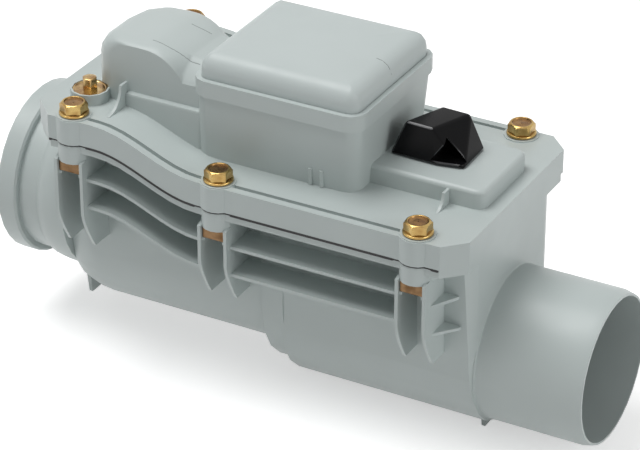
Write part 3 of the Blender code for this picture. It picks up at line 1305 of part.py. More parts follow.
def make_handle(skin):
    """Bridge handle: a tapered block with a slanted tunnel for the fingers and a hub below."""
    foot = PLATFORM_TOP_Z + SEAT_GAP
    place = upright(LOCK_X, LOCK_Y, foot)
    base = list(HANDLE_BASE) + [(-x, -y) for x, y in HANDLE_BASE]
    top = list(HANDLE_TOP) + [(-x, -y) for x, y in HANDLE_TOP]
    points = [(x, y, 0) for x, y in base] + [(x, y, HANDLE_HEIGHT) for x, y in top]
    handle = hull("lock_handle", points, place, parts)
    round_edges(handle, HANDLE_EDGE, 2, 20)
    half = HANDLE_TUNNEL_WIDTH / 2
    slope = half / (HANDLE_TUNNEL_TOP - HANDLE_FLOOR) * HANDLE_TUNNEL_ROUND
    bend = HANDLE_TUNNEL_TOP - HANDLE_TUNNEL_ROUND
    outline = [(-half, HANDLE_FLOOR), (half, HANDLE_FLOOR), (slope, bend),
               (0, bend + HANDLE_TUNNEL_ROUND / 2), (-slope, bend)]
    tunnel = prism("finger_tunnel", outline, -2 * HANDLE_HEIGHT, 2 * HANDLE_HEIGHT, SECTION, parts)
    tunnel.data.transform(place @ Matrix.Rotation(HANDLE_TUNNEL_ANGLE, 4, "Z"))
    cut(handle, tunnel)
    boss_low, clip_high, hub_low = lock_levels()[1:]
    groove = LOCK_HUB_RADIUS - HUB_GROOVE_DEPTH
    ring_z = (boss_low + PLATFORM_TOP_Z) / 2
    ring_half = O_RING_RADIUS + SEAT_GAP
    clip_low = clip_high - CLIP_THICKNESS - 2 * SEAT_GAP
    seat = foot + HANDLE_FLOOR / 2
    clip_seat = clip_high + SEAT_GAP / 2
    profile = [(0, seat), (LOCK_HUB_RADIUS, seat),
               (LOCK_HUB_RADIUS, ring_z + ring_half), (groove, ring_z + ring_half),
               (groove, ring_z - ring_half), (LOCK_HUB_RADIUS, ring_z - ring_half),
               (LOCK_HUB_RADIUS, clip_seat), (groove, clip_seat), (groove, clip_low),
               (LOCK_HUB_RADIUS, clip_low), (LOCK_HUB_RADIUS, hub_low), (0, hub_low)]
    hub = turned("handle_hub", profile, upright(LOCK_X, LOCK_Y), parts, ROUND_STEPS)
    join(handle, hub)
    cut(handle, drum("shaft_bore", LOCK_SHAFT_RADIUS + SEAT_GAP, hub_low - OVERLAP, foot - OVERLAP,
                     upright(LOCK_X, LOCK_Y), parts))
    return dress(handle, skin)


def make_lock_shaft(skin):
    finger_low = lock_levels()[0]
    shaft = drum("lock_shaft", LOCK_SHAFT_RADIUS, finger_low, PLATFORM_TOP_Z - OVERLAP,
                 upright(LOCK_X, LOCK_Y), parts)
    cut(shaft, drum("screw_bore", FINGER_SCREW_RADIUS + SEAT_GAP, finger_low - OVERLAP,
                    finger_low + FINGER_SCREW_LENGTH + OVERLAP, upright(LOCK_X, LOCK_Y), parts))
    return dress(shaft, skin)


def make_lock_finger(skin):
    """Arm that points across the valve when open and over the horn when locked."""
    low = lock_levels()[0]
    finger = drum("lock_finger", FINGER_HUB_RADIUS, low, low + FINGER_THICKNESS, upright(LOCK_X, LOCK_Y),
                  parts, BOSS_STEPS)
    half = FINGER_WIDTH / 2
    outline = [(-half, 0), (half, 0)] + arc(0, FINGER_LENGTH - half, half, 0, 180, 6)
    outline = [(LOCK_X + x, LOCK_Y + y) for x, y in outline]
    join(finger, prism("finger_arm", outline, low, low + FINGER_THICKNESS, PLAN, parts))
    cut(finger, drum("finger_bore", LOCK_SHAFT_RADIUS + SEAT_GAP, low - OVERLAP, low + 2 * FINGER_THICKNESS,
                     upright(LOCK_X, LOCK_Y), parts))
    return dress(finger, skin)


def make_finger_screw(skin):
    low = lock_levels()[0] - SEAT_GAP
    profile = [(0, low + FINGER_SCREW_LENGTH), (FINGER_SCREW_RADIUS, low + FINGER_SCREW_LENGTH),
               (FINGER_SCREW_RADIUS, low), (FINGER_SCREW_HEAD_RADIUS, low),
               (FINGER_SCREW_HEAD_RADIUS, low - FINGER_SCREW_HEAD_HEIGHT / 2),
               (FINGER_SCREW_HEAD_RADIUS * 0.8, low - FINGER_SCREW_HEAD_HEIGHT),
               (0, low - FINGER_SCREW_HEAD_HEIGHT)]
    return dress(turned("lock_finger_screw", profile, upright(LOCK_X, LOCK_Y), parts, SMALL_STEPS), skin)


def make_o_ring(skin):
    z = (lock_levels()[1] + PLATFORM_TOP_Z) / 2
    middle = LOCK_HUB_RADIUS - O_RING_RADIUS
    profile = arc(middle, z, O_RING_RADIUS, 90, -210, 5)
    return dress(turned("lock_o_ring", profile, upright(LOCK_X, LOCK_Y), parts, ROUND_STEPS), skin)


def make_clip(skin):
    high = lock_levels()[2]
    inner = LOCK_HUB_RADIUS - HUB_GROOVE_DEPTH + SEAT_GAP
    profile = [(inner, high), (CLIP_RADIUS, high), (CLIP_RADIUS, high - CLIP_THICKNESS),
               (inner, high - CLIP_THICKNESS)]
    clip = turned("lock_clip", profile, upright(LOCK_X, LOCK_Y), parts, ROUND_STEPS)
    cut(clip, block("clip_mouth", (-0.003, 0, high - OVERLAP), (0.003, 0.02, high + OVERLAP), parts,
                    upright(LOCK_X, LOCK_Y)))
    return dress(clip, skin)


clear_scene()
parts = new_collection("backwater_valve")
cutters = new_collection("cutters")

grey = plastic("pale_grey_plastic", (0.52, 0.58, 0.57), 0.42)
cover_grey = plastic("cover_grey_plastic", (0.54, 0.60, 0.59), 0.42)
cap_grey = plastic("cap_grey_plastic", (0.55, 0.61, 0.60), 0.40)
flap_grey = plastic("flap_plastic", (0.60, 0.62, 0.60), 0.40)
black = plastic("black_plastic", (0.012, 0.012, 0.014), 0.38)
rubber = plastic("black_rubber", (0.02, 0.02, 0.02), 0.70)
gold = plastic("gold_passivated_steel", (0.72, 0.50, 0.16), 0.28, 1.0)
bronze = plastic("bronze_nut", (0.42, 0.27, 0.12), 0.45, 1.0)
plug_bronze = plastic("plug_bronze", (0.50, 0.30, 0.14), 0.30, 1.0)
steel = plastic("steel", (0.60, 0.60, 0.60), 0.30, 1.0)
acetal = plastic("lock_plastic", (0.70, 0.70, 0.66), 0.45)

make_body(grey)
make_cover(cover_grey)
make_gasket(rubber)
make_box_cap(cap_grey)
make_box_seal(rubber)
make_lip_seal(rubber)
make_test_plug(plug_bronze)
make_plug_seal(rubber)
make_hinge_pin("inlet_hinge_pin", INLET_HINGE, steel)
make_hinge_pin("outlet_hinge_pin", OUTLET_HINGE, steel)
for bolt_number, bolt_x, bolt_y in bolts():
    make_bolt(bolt_number, bolt_x, bolt_y, gold)
    make_washer(bolt_number, bolt_x, bolt_y, gold)
    make_nut(bolt_number, bolt_x, bolt_y, bronze)

inlet_pivot = pivot("inlet_flap_pivot", INLET_HINGE)
hang(make_flap("inlet_flap", INLET_HINGE, flap_grey), inlet_pivot)
hang(make_flap_gasket("inlet_flap_gasket", INLET_HINGE, rubber), inlet_pivot)
outlet_pivot = pivot("outlet_flap_pivot", OUTLET_HINGE)
hang(make_flap("outlet_flap", OUTLET_HINGE, flap_grey, horn=True), outlet_pivot)
hang(make_flap_gasket("outlet_flap_gasket", OUTLET_HINGE, rubber), outlet_pivot)

lock_pivot = pivot("lock_pivot", (LOCK_X, LOCK_Y, PLATFORM_TOP_Z))
for lock_piece in (make_handle(black), make_lock_shaft(steel), make_lock_finger(acetal),
                   make_finger_screw(steel), make_o_ring(rubber), make_clip(steel)):
    hang(lock_piece, lock_pivot)
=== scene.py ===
"""Looks of the backwater valve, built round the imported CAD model."""

import json
import math

import bmesh
import bpy
from mathutils import Matrix, Vector

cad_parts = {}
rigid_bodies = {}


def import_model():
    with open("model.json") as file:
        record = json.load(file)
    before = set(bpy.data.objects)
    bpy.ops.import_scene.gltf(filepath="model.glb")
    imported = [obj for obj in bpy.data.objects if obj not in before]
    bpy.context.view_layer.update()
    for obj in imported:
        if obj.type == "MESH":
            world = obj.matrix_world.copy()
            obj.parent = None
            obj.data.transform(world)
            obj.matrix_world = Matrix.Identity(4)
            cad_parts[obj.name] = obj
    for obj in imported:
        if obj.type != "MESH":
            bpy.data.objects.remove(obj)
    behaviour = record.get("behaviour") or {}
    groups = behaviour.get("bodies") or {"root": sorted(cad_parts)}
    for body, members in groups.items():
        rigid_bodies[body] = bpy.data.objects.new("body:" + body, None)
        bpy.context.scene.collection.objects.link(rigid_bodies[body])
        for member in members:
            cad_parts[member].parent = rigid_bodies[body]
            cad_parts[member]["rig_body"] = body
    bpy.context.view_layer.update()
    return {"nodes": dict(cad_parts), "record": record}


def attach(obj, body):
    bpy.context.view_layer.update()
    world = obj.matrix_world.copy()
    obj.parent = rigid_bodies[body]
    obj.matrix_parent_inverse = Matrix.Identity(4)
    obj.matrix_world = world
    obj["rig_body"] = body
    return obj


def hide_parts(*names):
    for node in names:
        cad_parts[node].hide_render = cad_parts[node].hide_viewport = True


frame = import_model()
nodes = frame["nodes"]
SLOTS = {part["node"]: part["material_slot"] for part in frame["record"]["subparts"]}


def box_of(node):
    """Lowest and highest corner of a CAD node."""
    corners = [nodes[node].matrix_world @ Vector(c) for c in nodes[node].bound_box]
    return [Vector([pick(c[i] for c in corners) for i in range(3)]) for pick in (min, max)]


# Camera, matched to the photograph
VIEW_AZIMUTH = math.radians(28.55)
VIEW_ELEVATION = math.radians(29.53)
VIEW_RIGHT = -0.19879
VIEW_UP = 0.0979
VIEW_BACK = 2.0323
VIEW_CENTRE = Vector((0.228, 0, 0.062))
LENS = 168.75
SENSOR = 36

# Light
WORLD_LIGHT = 0.26
FLOOR_TONE = 0.86
FLOOR_Z = -0.0005
FLOOR_HALF_SIZE = 6
FLOOR_LIFT = 0.50
FAR_LIFT = 0.85
LIFT_NEAR = 0.6
LIFT_FAR = 1.8
MIDDLE = (0, 0, 0.1)

# Surface patterns: scales of the noise and heights of the bumps
TONE_SCALE = 14
SHEEN_SCALE = 60
GRAIN_SCALE = 1400
GRAIN_HEIGHT = 0.0004
CLOUD_SCALE = 120
SCRATCH_SCALE = 900
SCRATCH_HEIGHT = 0.0002
SCRATCH_STRENGTH = 0.04

# Edge rounding of the CAD pieces
ROUNDING = {"valve_body": 0.0006, "cover": 0.0007, "lock_handle": 0.0010, "outlet_flap": 0.0004,
            "inlet_flap": 0.0004, "lock_finger": 0.0004}
NUT_ROUNDING = 0.0005
ROUNDING_SEGMENTS = 2
MERGE_DISTANCE = 0.00001
FLAT_ANGLE = math.radians(0.6)
SHARP_ANGLE = math.radians(35)
TURNED_SHARP_ANGLE = math.radians(32)
LONG_EDGE = 0.006

# Bolts, washers and threads. Profiles hold the distance past the flats and the depth under the top.
BOLT_COUNT = 6
BOLT_X = [sum(corner.x for corner in box_of(f"cover_bolt_{n}")) / 2 for n in (1, 2, 3)]
BOLT_Y = -sum(corner.y for corner in box_of("cover_bolt_1")) / 2
HEAD_GAP = 0.0002
CROWN_HEIGHT = 0.0016
CROWN_PROFILE = ((0.0005, 0.0010), (-0.0002, 0.0004), (-0.0009, 0), (-0.0013, 0), (-0.0017, 0.0002))
DISH_PROFILE = ((-0.0017, 0.0002), (-0.0022, 0.0010), (-0.0033, 0.0013), (-0.0049, 0.0011), (-0.0081, 0.0010))
SHANK_RADIUS = 0.005
THREAD_PITCH = 0.0015
THREAD_DEPTH = 0.0007
THREAD_LENGTH = 0.018
WASHER_EDGE = 0.0005

# Test plug. The stub's crown holds shares of its radius and depths under its top.
PLUG_GAP = 0.0001
PLUG_THICKNESS = 0.0018
PLUG_EDGE = 0.0004
PLUG_RIM = 0.0012
PLUG_DISH_DEPTH = 0.0005
PLUG_SHANK = 0.0064
PLUG_STUB = 0.0055
STUB_SINK = 0.0006
STUB_CROWN = ((1, 0.0016), (0.9, 0.0006), (0.72, 0.0001), (0.3, 0))
STUB_TURN = math.radians(8)

# Parting line and the dark strip in it: the gasket's edge together with painted shade of the gap
RAMP_LEFT_X = -0.128
RAMP_RIGHT_X = -0.046
PARTING_LOW_Z = box_of("cover")[0].z - 0.0003
PARTING_RISE = box_of("cover_bolt_1")[1].z - box_of("cover_bolt_3")[1].z
BOSS_RADIUS = 0.0124
SKIRT_Y = BOLT_Y + 0.0089
STRIP_LEFT_X = -0.163
STRIP_RIGHT_X = 0.138
STRIP_STEP = 0.0012
STRIP_INSET = 0.0005
STRIP_WIDTH = 0.0022
STRIP_THIN = 0.45

# Lower gusset, ribs on the box's foot and fine seams drawn as dark lines of painted shade
GUSSET_DROP = 0.0563
GUSSET_THICKNESS = 0.0024
GUSSET_EDGE = 0.0003
GUSSET_RUN = 0.014
GUSSET_X = BOLT_X[-1] + 0.0100
GUSSET_ROOT_Y = 0.058
GUSSET_LIP = 0.0045
GUSSET_TIP_Y = SKIRT_Y - 0.0085
RIB_LOW_Z = PARTING_LOW_Z + 0.0190
RIB_HEIGHT = 0.0125
RIB_WIDTH = 0.0030
RIB_STEPS = 4
RIB_X = (0.0235, 0.0320)
SEAM_WIDTH = 0.0004
SEAMS = {
    "dome_seam_near": ("cover", (-0.109, -0.036), (-0.0717, -0.036), 24),
    "dome_seam_far": ("cover", (-0.100, 0.001), (-0.084, 0.001), 12),
    "cap_seam": ("box_cap", (0.0465, -0.003), (0.0578, -0.003), 8),
}
ABOVE_ALL = 0.4
BESIDE_ALL = -0.2


# Materials

def shader_of(name, colour, roughness, metallic=0.0):
    skin = bpy.data.materials.new(name)
    skin.use_nodes = True
    shader = skin.node_tree.nodes["Principled BSDF"]
    shader.inputs["Base Color"].default_value = (*colour, 1)
    shader.inputs["Roughness"].default_value = roughness
    shader.inputs["Metallic"].default_value = metallic
    return skin, skin.node_tree.nodes, skin.node_tree.links, shader


def noise(tree, links, place, scale, detail=3.0, roughness=0.5):
    node = tree.new("ShaderNodeTexNoise")
    node.inputs["Scale"].default_value = scale
    node.inputs["Detail"].default_value = detail
    node.inputs["Roughness"].default_value = roughness
    links.new(place.outputs["Object"], node.inputs["Vector"])
    return node.outputs["Fac"]


def spread(tree, links, source, low, high, low_in=0.3, high_in=0.7):
    """Stretch a value between two levels."""
    node = tree.new("ShaderNodeMapRange")
    node.inputs["From Min"].default_value = low_in
    node.inputs["From Max"].default_value = high_in
    node.inputs["To Min"].default_value = low
    node.inputs["To Max"].default_value = high
    links.new(source, node.inputs["Value"])
    return node.outputs["Result"]


def two_tones(tree, links, source, low, high, margin):
    """Colour that goes from one tone to another, over what the margins leave."""
    ramp = tree.new("ShaderNodeValToRGB")
    start, end = ramp.color_ramp.elements
    start.position = margin
    start.color = (*low, 1)
    end.position = 1 - margin
    end.color = (*high, 1)
    links.new(source, ramp.inputs["Fac"])
    return ramp.outputs["Color"]


def bumped(tree, links, source, strength, height):
    bump = tree.new("ShaderNodeBump")
    bump.inputs["Strength"].default_value = strength
    bump.inputs["Distance"].default_value = height
    links.new(source, bump.inputs["Height"])
    return bump.outputs["Normal"]


def moulded_plastic(name, colour, roughness, grain=0.06, tone=0.02):
    """Fine spark-eroded grain, patches of sheen and a slight change of tone."""
    skin, tree, links, shader = shader_of(name, colour, roughness)
    place = tree.new("ShaderNodeTexCoord")
    darker = [c * (1 - tone) for c in colour]
    lighter = [min(c * (1 + tone), 1) for c in colour]
    soft = noise(tree, links, place, TONE_SCALE, 2)
    links.new(two_tones(tree, links, soft, darker, lighter, 0.35), shader.inputs["Base Color"])
    patchy = noise(tree, links, place, SHEEN_SCALE, 4)
    links.new(spread(tree, links, patchy, roughness - 0.04, roughness + 0.05), shader.inputs["Roughness"])
    fine = noise(tree, links, place, GRAIN_SCALE, 2)
    links.new(bumped(tree, links, fine, grain, GRAIN_HEIGHT), shader.inputs["Normal"])
    return skin


def plated_metal(name, colour, second, roughness):
    """Metal with cloudy plating and fine wear."""
    skin, tree, links, shader = shader_of(name, colour, roughness, 1.0)
    place = tree.new("ShaderNodeTexCoord")
    cloud = noise(tree, links, place, CLOUD_SCALE, 3, 0.5)
    links.new(two_tones(tree, links, cloud, second, colour, 0.38), shader.inputs["Base Color"])
    wear = noise(tree, links, place, SCRATCH_SCALE, 3)
    links.new(spread(tree, links, wear, roughness - 0.06, roughness + 0.10), shader.inputs["Roughness"])
    links.new(bumped(tree, links, wear, SCRATCH_STRENGTH, SCRATCH_HEIGHT), shader.inputs["Normal"])
    return skin


grey = moulded_plastic("grey_plastic", (0.485, 0.540, 0.530), 0.40)
cap_grey = moulded_plastic("cap_plastic", (0.505, 0.560, 0.552), 0.44)
# Dark grey for the seam lines: painted shade of the narrow grooves.
groove_shade_grey = moulded_plastic("groove_shade_plastic", (0.20, 0.225, 0.22), 0.55)
flap_plastic = moulded_plastic("flap_plastic", (0.56, 0.59, 0.57), 0.40)
black = moulded_plastic("black_plastic", (0.0035, 0.0035, 0.004), 0.20, 0.05, 0.15)
black.node_tree.nodes["Principled BSDF"].inputs["Specular IOR Level"].default_value = 0.10
# Lighter black for the handle's rounded edges: a painted highlight along the edges.
edge_highlight_black = moulded_plastic("edge_highlight_black", (0.020, 0.021, 0.024), 0.24, 0.03, 0.1)
lock_plastic = moulded_plastic("lock_plastic", (0.66, 0.66, 0.62), 0.45)
rubber = moulded_plastic("rubber", (0.018, 0.018, 0.018), 0.68, 0.2, 0.1)
gold = plated_metal("gold_steel", (0.50, 0.35, 0.13), (0.36, 0.22, 0.075), 0.20)
bronze = plated_metal("bronze", (0.22, 0.135, 0.070), (0.12, 0.068, 0.033), 0.32)
plug_gold = plated_metal("plug_gold", (0.58, 0.42, 0.19), (0.33, 0.20, 0.09), 0.22)
# Darker gold for the bolts' dished tops: painted shade in the hollow.
dish_shade_gold = plated_metal("dish_shade_gold", (0.30, 0.17, 0.065), (0.19, 0.10, 0.04), 0.26)
steel = plated_metal("steel", (0.62, 0.62, 0.61), (0.50, 0.50, 0.50), 0.28)

SKINS = {
    "grey_plastic": grey, "flap_plastic": flap_plastic, "black_plastic": black, "lock_plastic": lock_plastic,
    "rubber": rubber, "gold_steel": gold, "bronze": bronze, "steel": steel,
}


# Shared steps

def placed(name, data):
    """New object in the scene."""
    piece = bpy.data.objects.new(name, data)
    bpy.context.scene.collection.objects.link(piece)
    return piece


def mesh_of(name, work):
    """Mesh with the faces of a finished bmesh, which it frees."""
    mesh = bpy.data.meshes.new(name)
    work.to_mesh(mesh)
    work.free()
    return mesh


def smooth(mesh, angle):
    mesh.shade_smooth()
    mesh.set_sharp_from_angle(angle=angle)


def show(piece, node, skin=None):
    """Put a piece in a CAD node's place, on its body and in its material."""
    piece.data.materials.clear()
    piece.data.materials.append(skin or SKINS[SLOTS[node]])
    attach(piece, nodes[node]["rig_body"])
    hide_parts(node)


def trim(piece, node, skin):
    """Put a small piece that no CAD node has on a node's body."""
    piece.data.materials.append(skin)
    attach(piece, nodes[node]["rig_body"])


def ringed(name, rings, spot, shape, steps, capped=True):
    """Body from rings of a limiting radius and a height; shape gives the outline's radius."""
    work = bmesh.new()
    loops = []
    for limit, z in rings:
        loop = []
        for step in range(steps):
            turn = 2 * math.pi * step / steps
            reach = min(shape(turn), limit)
            loop.append(work.verts.new((reach * math.cos(turn), reach * math.sin(turn), z)))
        loops.append(loop)
    for low, high in zip(loops, loops[1:]):
        for step in range(steps):
            after = (step + 1) % steps
            work.faces.new((low[step], low[after], high[after], high[step]))
    if capped:
        work.faces.new(reversed(loops[0]))
        work.faces.new(loops[-1])
    else:
        bmesh.ops.remove_doubles(work, verts=work.verts, dist=MERGE_DISTANCE / 10)
    bmesh.ops.recalc_face_normals(work, faces=work.faces)
    mesh = mesh_of(name, work)
    smooth(mesh, TURNED_SHARP_ANGLE)
    piece = placed(name, mesh)
    piece.location = spot
    return piece


def line(name, points, width, radii=None):
    """Thin round strip along points, half sunk where it lies on a surface."""
    curve = bpy.data.curves.new(name, "CURVE")
    curve.dimensions = "3D"
    curve.bevel_depth = width / 2
    curve.bevel_resolution = 2
    curve.use_fill_caps = True
    spline = curve.splines.new("POLY")
    spline.points.add(len(points) - 1)
    for i, place in enumerate(points):
        spline.points[i].co = (*place, 1)
        spline.points[i].radius = radii[i] if radii else 1
    return placed(name, curve)


# Dressed CAD pieces

def dressed(node, width=0.0, skin=None, highlight_skin=None):
    """Copy of a CAD node with rounded edges. With a skin for the rounded edges, its long edges alone are
    rounded and take that skin, a lighter black that paints a highlight on them.
    """
    mesh = nodes[node].data.copy()
    work = bmesh.new()
    work.from_mesh(mesh)
    bmesh.ops.remove_doubles(work, verts=work.verts, dist=MERGE_DISTANCE)
    bmesh.ops.dissolve_limit(work, angle_limit=FLAT_ANGLE, verts=work.verts, edges=work.edges)
    if highlight_skin:
        weight = work.edges.layers.float.new("bevel_weight_edge")
        for edge in work.edges:
            if edge.calc_length() > LONG_EDGE and edge.calc_face_angle(0) > SHARP_ANGLE:
                edge[weight] = 1
    work.to_mesh(mesh)
    work.free()
    piece = placed(node + "_finish", mesh)
    if width:
        bevel = piece.modifiers.new("edges", "BEVEL")
        bevel.width = width
        bevel.segments = ROUNDING_SEGMENTS
        bevel.limit_method = "WEIGHT" if highlight_skin else "ANGLE"
        bevel.angle_limit = SHARP_ANGLE
        bevel.miter_outer = "MITER_ARC"
    smooth(mesh, SHARP_ANGLE)
    even = piece.modifiers.new("flat_faces", "WEIGHTED_NORMAL")
    even.keep_sharp = True
    show(piece, node, skin)
    if highlight_skin:
        piece.data.materials.append(highlight_skin)
        # The bevel faces take the lighter black: painted highlight on the handle's edges.
        bevel.material = 1
        bevel.use_clamp_overlap = False


def hexagon(flats, start):
    """Radius of a hexagon at an angle, with a corner at the angle start."""
    def reach(turn):
        off = (turn - start) % (math.pi / 3) - math.pi / 6
        return flats / 2 / math.cos(off)
    return reach


def bolt(node, washer):
    """Hexagon head with a rounded crown and a dished top, on a threaded shank; the dish takes a darker gold,
    painted shade in the hollow.
    """
    low, high = box_of(node)
    seat = box_of(washer)[1].z
    centre = (low + high) / 2
    wide = high - low
    flats = min(wide.x, wide.y)
    corner = math.pi / 2 if wide.y > wide.x else 0
    crown = [(flats, seat + HEAD_GAP), (flats, high.z - CROWN_HEIGHT)]
    crown += [(flats / 2 + past, high.z - under) for past, under in CROWN_PROFILE]
    dish = [(flats / 2 + past, high.z - under) for past, under in DISH_PROFILE]
    shank = [(SHANK_RADIUS - THREAD_DEPTH, low.z), (SHANK_RADIUS, low.z + THREAD_PITCH / 2)]
    z = low.z + THREAD_PITCH
    while z < low.z + THREAD_LENGTH:
        shank += [(SHANK_RADIUS - THREAD_DEPTH, z), (SHANK_RADIUS, z + THREAD_PITCH / 2)]
        z += THREAD_PITCH
    shank.append((SHANK_RADIUS, seat + THREAD_DEPTH / 2))
    spot = (centre.x, centre.y, 0)
    show(ringed(node + "_head", crown, spot, hexagon(flats, corner), 96, False), node)
    show(ringed(node + "_dish", dish, spot, lambda turn: flats, 48, False), node, dish_shade_gold)
    show(ringed(node + "_shank", shank, spot, lambda turn: SHANK_RADIUS, 32), node)


def washer_ring(node):
    """Turned washer with a rounded outer edge round the bolt's shank."""
    low, high = box_of(node)
    centre = (low + high) / 2
    outer = (high.x - low.x) / 2
    inner = SHANK_RADIUS + THREAD_DEPTH / 2
    profile = [(inner, low.z), (outer - WASHER_EDGE, low.z), (outer, low.z + WASHER_EDGE),
               (outer, high.z - 1.4 * WASHER_EDGE), (outer - WASHER_EDGE / 2, high.z - WASHER_EDGE / 2),
               (outer - 1.5 * WASHER_EDGE, high.z), (inner, high.z), (inner, low.z)]
    show(ringed(node + "_ring", profile, (centre.x, centre.y, 0), lambda turn: outer, 64, False), node)


def test_plug():
    """Turned disc with a raised rim and a six-sided stub with a rounded top."""
    low, high = box_of("test_plug")
    centre = (low + high) / 2
    spot = (centre.x, centre.y, 0)
    outer = (high.x - low.x) / 2
    seat = box_of("test_plug_seal")[1].z + PLUG_GAP
    face = seat + PLUG_THICKNESS
    disc = [(PLUG_SHANK, low.z), (PLUG_SHANK, seat), (outer - PLUG_EDGE, seat), (outer, seat + PLUG_EDGE),
            (outer, face - 0.75 * PLUG_EDGE), (outer - PLUG_EDGE, face), (outer - PLUG_RIM, face),
            (outer - 1.5 * PLUG_RIM, face - PLUG_DISH_DEPTH), (PLUG_STUB, face - 0.8 * PLUG_DISH_DEPTH)]
    stub = [(PLUG_STUB, face - STUB_SINK)]
    stub += [(PLUG_STUB * share, high.z - under) for share, under in STUB_CROWN]
    across_flats = PLUG_STUB * 2 * math.cos(math.pi / 6)
    show(ringed("plug_disc", disc, spot, lambda turn: outer, 64), "test_plug", plug_gold)
    show(ringed("plug_stub", stub, spot, hexagon(across_flats, STUB_TURN), 72), "test_plug", plug_gold)


# Trim that the solids don't have

def parting_z(x):
    """Height of the gap between body and cover, which climbs over the inlet half."""
    along = min(max((RAMP_RIGHT_X - x) / (RAMP_RIGHT_X - RAMP_LEFT_X), 0), 1)
    return PARTING_LOW_Z + PARTING_RISE * (0.5 - 0.5 * math.cos(math.pi * along))


def side_name(side):
    return "near" if side < 0 else "far"


def gap_strip(side):
    """Dark strip in the gap under the cover, thin round the bolt bosses: the gasket's edge together with
    painted shade of the gap.
    """
    points, radii = [], []
    x = STRIP_LEFT_X
    while x < STRIP_RIGHT_X:
        reach = SKIRT_Y
        near = min(abs(x - bolt_x) for bolt_x in BOLT_X)
        if near < BOSS_RADIUS:
            reach = max(reach, BOLT_Y + math.sqrt(BOSS_RADIUS ** 2 - near ** 2))
        points.append((x, side * (reach - STRIP_INSET), parting_z(x)))
        radii.append(STRIP_THIN if near < BOSS_RADIUS + STRIP_STEP else 1)
        x += STRIP_STEP
    trim(line(f"gap_strip_{side_name(side)}", points, STRIP_WIDTH, radii), "cover", rubber)


def gusset(side):
    """Lower triangular gusset between the last fin and the body's wall."""
    low = PARTING_LOW_Z - GUSSET_DROP - GUSSET_THICKNESS / 2
    right = GUSSET_X + GUSSET_RUN
    outline = [(GUSSET_X, side * GUSSET_ROOT_Y), (right, side * GUSSET_ROOT_Y),
               (right, side * (GUSSET_ROOT_Y + GUSSET_LIP)), (GUSSET_X, side * GUSSET_TIP_Y)]
    work = bmesh.new()
    face = work.faces.new([work.verts.new((x, y, low)) for x, y in outline])
    made = bmesh.ops.extrude_face_region(work, geom=[face])["geom"]
    lifted = [item for item in made if isinstance(item, bmesh.types.BMVert)]
    bmesh.ops.translate(work, verts=lifted, vec=(0, 0, GUSSET_THICKNESS))
    bmesh.ops.recalc_face_normals(work, faces=work.faces)
    bmesh.ops.bevel(work, geom=list(work.edges), offset=GUSSET_EDGE, segments=1, affect="EDGES")
    name = f"low_gusset_{side_name(side)}"
    trim(placed(name, mesh_of(name, work)), "valve_body", grey)


def box_rib(number, x):
    """Half-round rib on the near foot of the dry box, standing proud of the flared wall."""
    points = []
    for step in range(RIB_STEPS + 1):
        z = RIB_LOW_Z + RIB_HEIGHT * step / RIB_STEPS
        hit, place, _, _ = nodes["cover"].ray_cast(Vector((x, BESIDE_ALL, z)), Vector((0, 1, 0)))
        if hit:
            points.append((x, place.y, z))
    trim(line(f"box_rib_{number}", points, RIB_WIDTH), "cover", grey)


def surface_line(name, node, start, end, steps):
    """Fine seam laid on top of a CAD surface between two places in plan, darker than the plastic round it:
    painted shade in the seam's groove.
    """
    points = []
    for step in range(steps + 1):
        x = start[0] + (end[0] - start[0]) * step / steps
        y = start[1] + (end[1] - start[1]) * step / steps
        hit, place, _, _ = nodes[node].ray_cast(Vector((x, y, ABOVE_ALL)), Vector((0, 0, -1)))
        if hit:
            points.append((place.x, place.y, place.z))
    trim(line(name, points, SEAM_WIDTH), node, groove_shade_grey)


for number in range(1, BOLT_COUNT + 1):
    bolt(f"cover_bolt_{number}", f"bolt_washer_{number}")
    washer_ring(f"bolt_washer_{number}")
    dressed(f"square_nut_{number}", NUT_ROUNDING)
test_plug()
for side in (-1, 1):
    gap_strip(side)
    gusset(side)
for number, x in enumerate(RIB_X, 1):
    box_rib(number, x)
for name, seam in SEAMS.items():
    surface_line(name, *seam)
for node in nodes:
    if not node.startswith(("cover_bolt", "bolt_washer", "square_nut")) and node != "test_plug":
        dressed(node, ROUNDING.get(node, 0.0), skin=cap_grey if node == "box_cap" else None,
                highlight_skin=edge_highlight_black if node == "lock_handle" else None)


# Floor, light and camera

def place_camera():
    back = Vector((math.sin(VIEW_AZIMUTH) * math.cos(VIEW_ELEVATION),
                   -math.cos(VIEW_AZIMUTH) * math.cos(VIEW_ELEVATION), math.sin(VIEW_ELEVATION)))
    right = Vector((0, 0, 1)).cross(back).normalized()
    up = back.cross(right)
    data = bpy.data.cameras.new("camera")
    data.lens = LENS
    data.sensor_width = SENSOR
    data.clip_end = 20
    camera = placed("camera", data)
    turn = Matrix((right, up, back)).transposed().to_4x4()
    spot = VIEW_CENTRE + VIEW_RIGHT * right + VIEW_UP * up + VIEW_BACK * back
    camera.matrix_world = Matrix.Translation(spot) @ turn
    bpy.context.scene.camera = camera


def seen_directly(tree, links):
    """1 for camera, glossy and transmitted rays, 0 for the light that falls on the object."""
    path = tree.new("ShaderNodeLightPath")
    total = path.outputs["Is Camera Ray"]
    for ray in ("Is Glossy Ray", "Is Transmission Ray"):
        add = tree.new("ShaderNodeMath")
        add.operation = "MAXIMUM"
        links.new(total, add.inputs[0])
        links.new(path.outputs[ray], add.inputs[1])
        total = add.outputs["Value"]
    return total


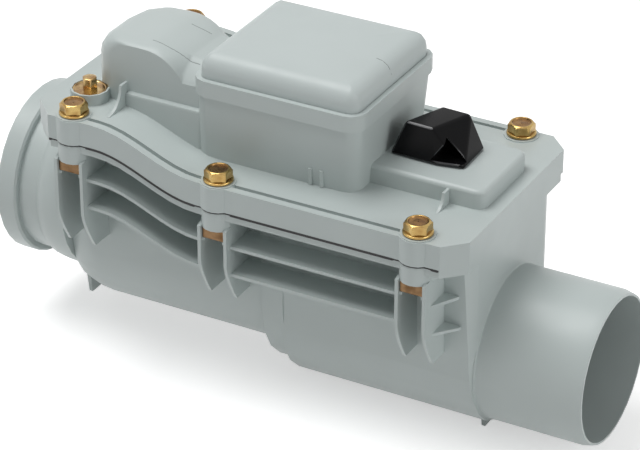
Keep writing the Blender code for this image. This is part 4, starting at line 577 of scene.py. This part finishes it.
def make_floor():
    """Pale floor that takes the shadow; a lift on the rays that see it brings it to white."""
    work = bmesh.new()
    bmesh.ops.create_grid(work, x_segments=1, y_segments=1, size=FLOOR_HALF_SIZE)
    floor = placed("floor", mesh_of("floor", work))
    floor.location = (0, 0, FLOOR_Z)
    skin, tree, links, shader = shader_of("floor", (FLOOR_TONE, FLOOR_TONE, FLOOR_TONE), 0.8)
    shader.inputs["Specular IOR Level"].default_value = 0.1
    shader.inputs["Emission Color"].default_value = (1, 1, 1, 1)
    place = tree.new("ShaderNodeTexCoord")
    away = tree.new("ShaderNodeVectorMath")
    away.operation = "LENGTH"
    links.new(place.outputs["Object"], away.inputs[0])
    lift = tree.new("ShaderNodeMath")
    lift.operation = "MULTIPLY"
    level = spread(tree, links, away.outputs["Value"], FLOOR_LIFT, FAR_LIFT, LIFT_NEAR, LIFT_FAR)
    links.new(level, lift.inputs[1])
    links.new(seen_directly(tree, links), lift.inputs[0])
    links.new(lift.outputs["Value"], shader.inputs["Emission Strength"])
    floor.data.materials.append(skin)


def area_light(name, spot, size, power):
    """White rectangular lamp aimed at the middle of the object."""
    data = bpy.data.lights.new(name, "AREA")
    data.shape = "RECTANGLE"
    data.size, data.size_y = size
    data.energy = power
    light = placed(name, data)
    aim = (Vector(MIDDLE) - Vector(spot)).to_track_quat("-Z", "Y")
    light.matrix_world = Matrix.Translation(spot) @ aim.to_matrix().to_4x4()


def make_world():
    """Soft light from all round, and white where it is seen."""
    world = bpy.data.worlds.new("studio")
    bpy.context.scene.world = world
    world.use_nodes = True
    tree, links = world.node_tree.nodes, world.node_tree.links
    ground = tree["Background"]
    ground.inputs["Color"].default_value = (1, 1, 1, 1)
    level = spread(tree, links, seen_directly(tree, links), WORLD_LIGHT, 1, 0, 1)
    links.new(level, ground.inputs["Strength"])


make_world()
make_floor()
area_light("key", (-0.7, -0.3, 2.35), (1.5, 1.5), 39)
area_light("side", (2.3, -0.25, 0.9), (1.2, 1.0), 13)
place_camera()
bpy.context.scene.view_settings.view_transform = "Standard"

bpy.context.view_layer.update()
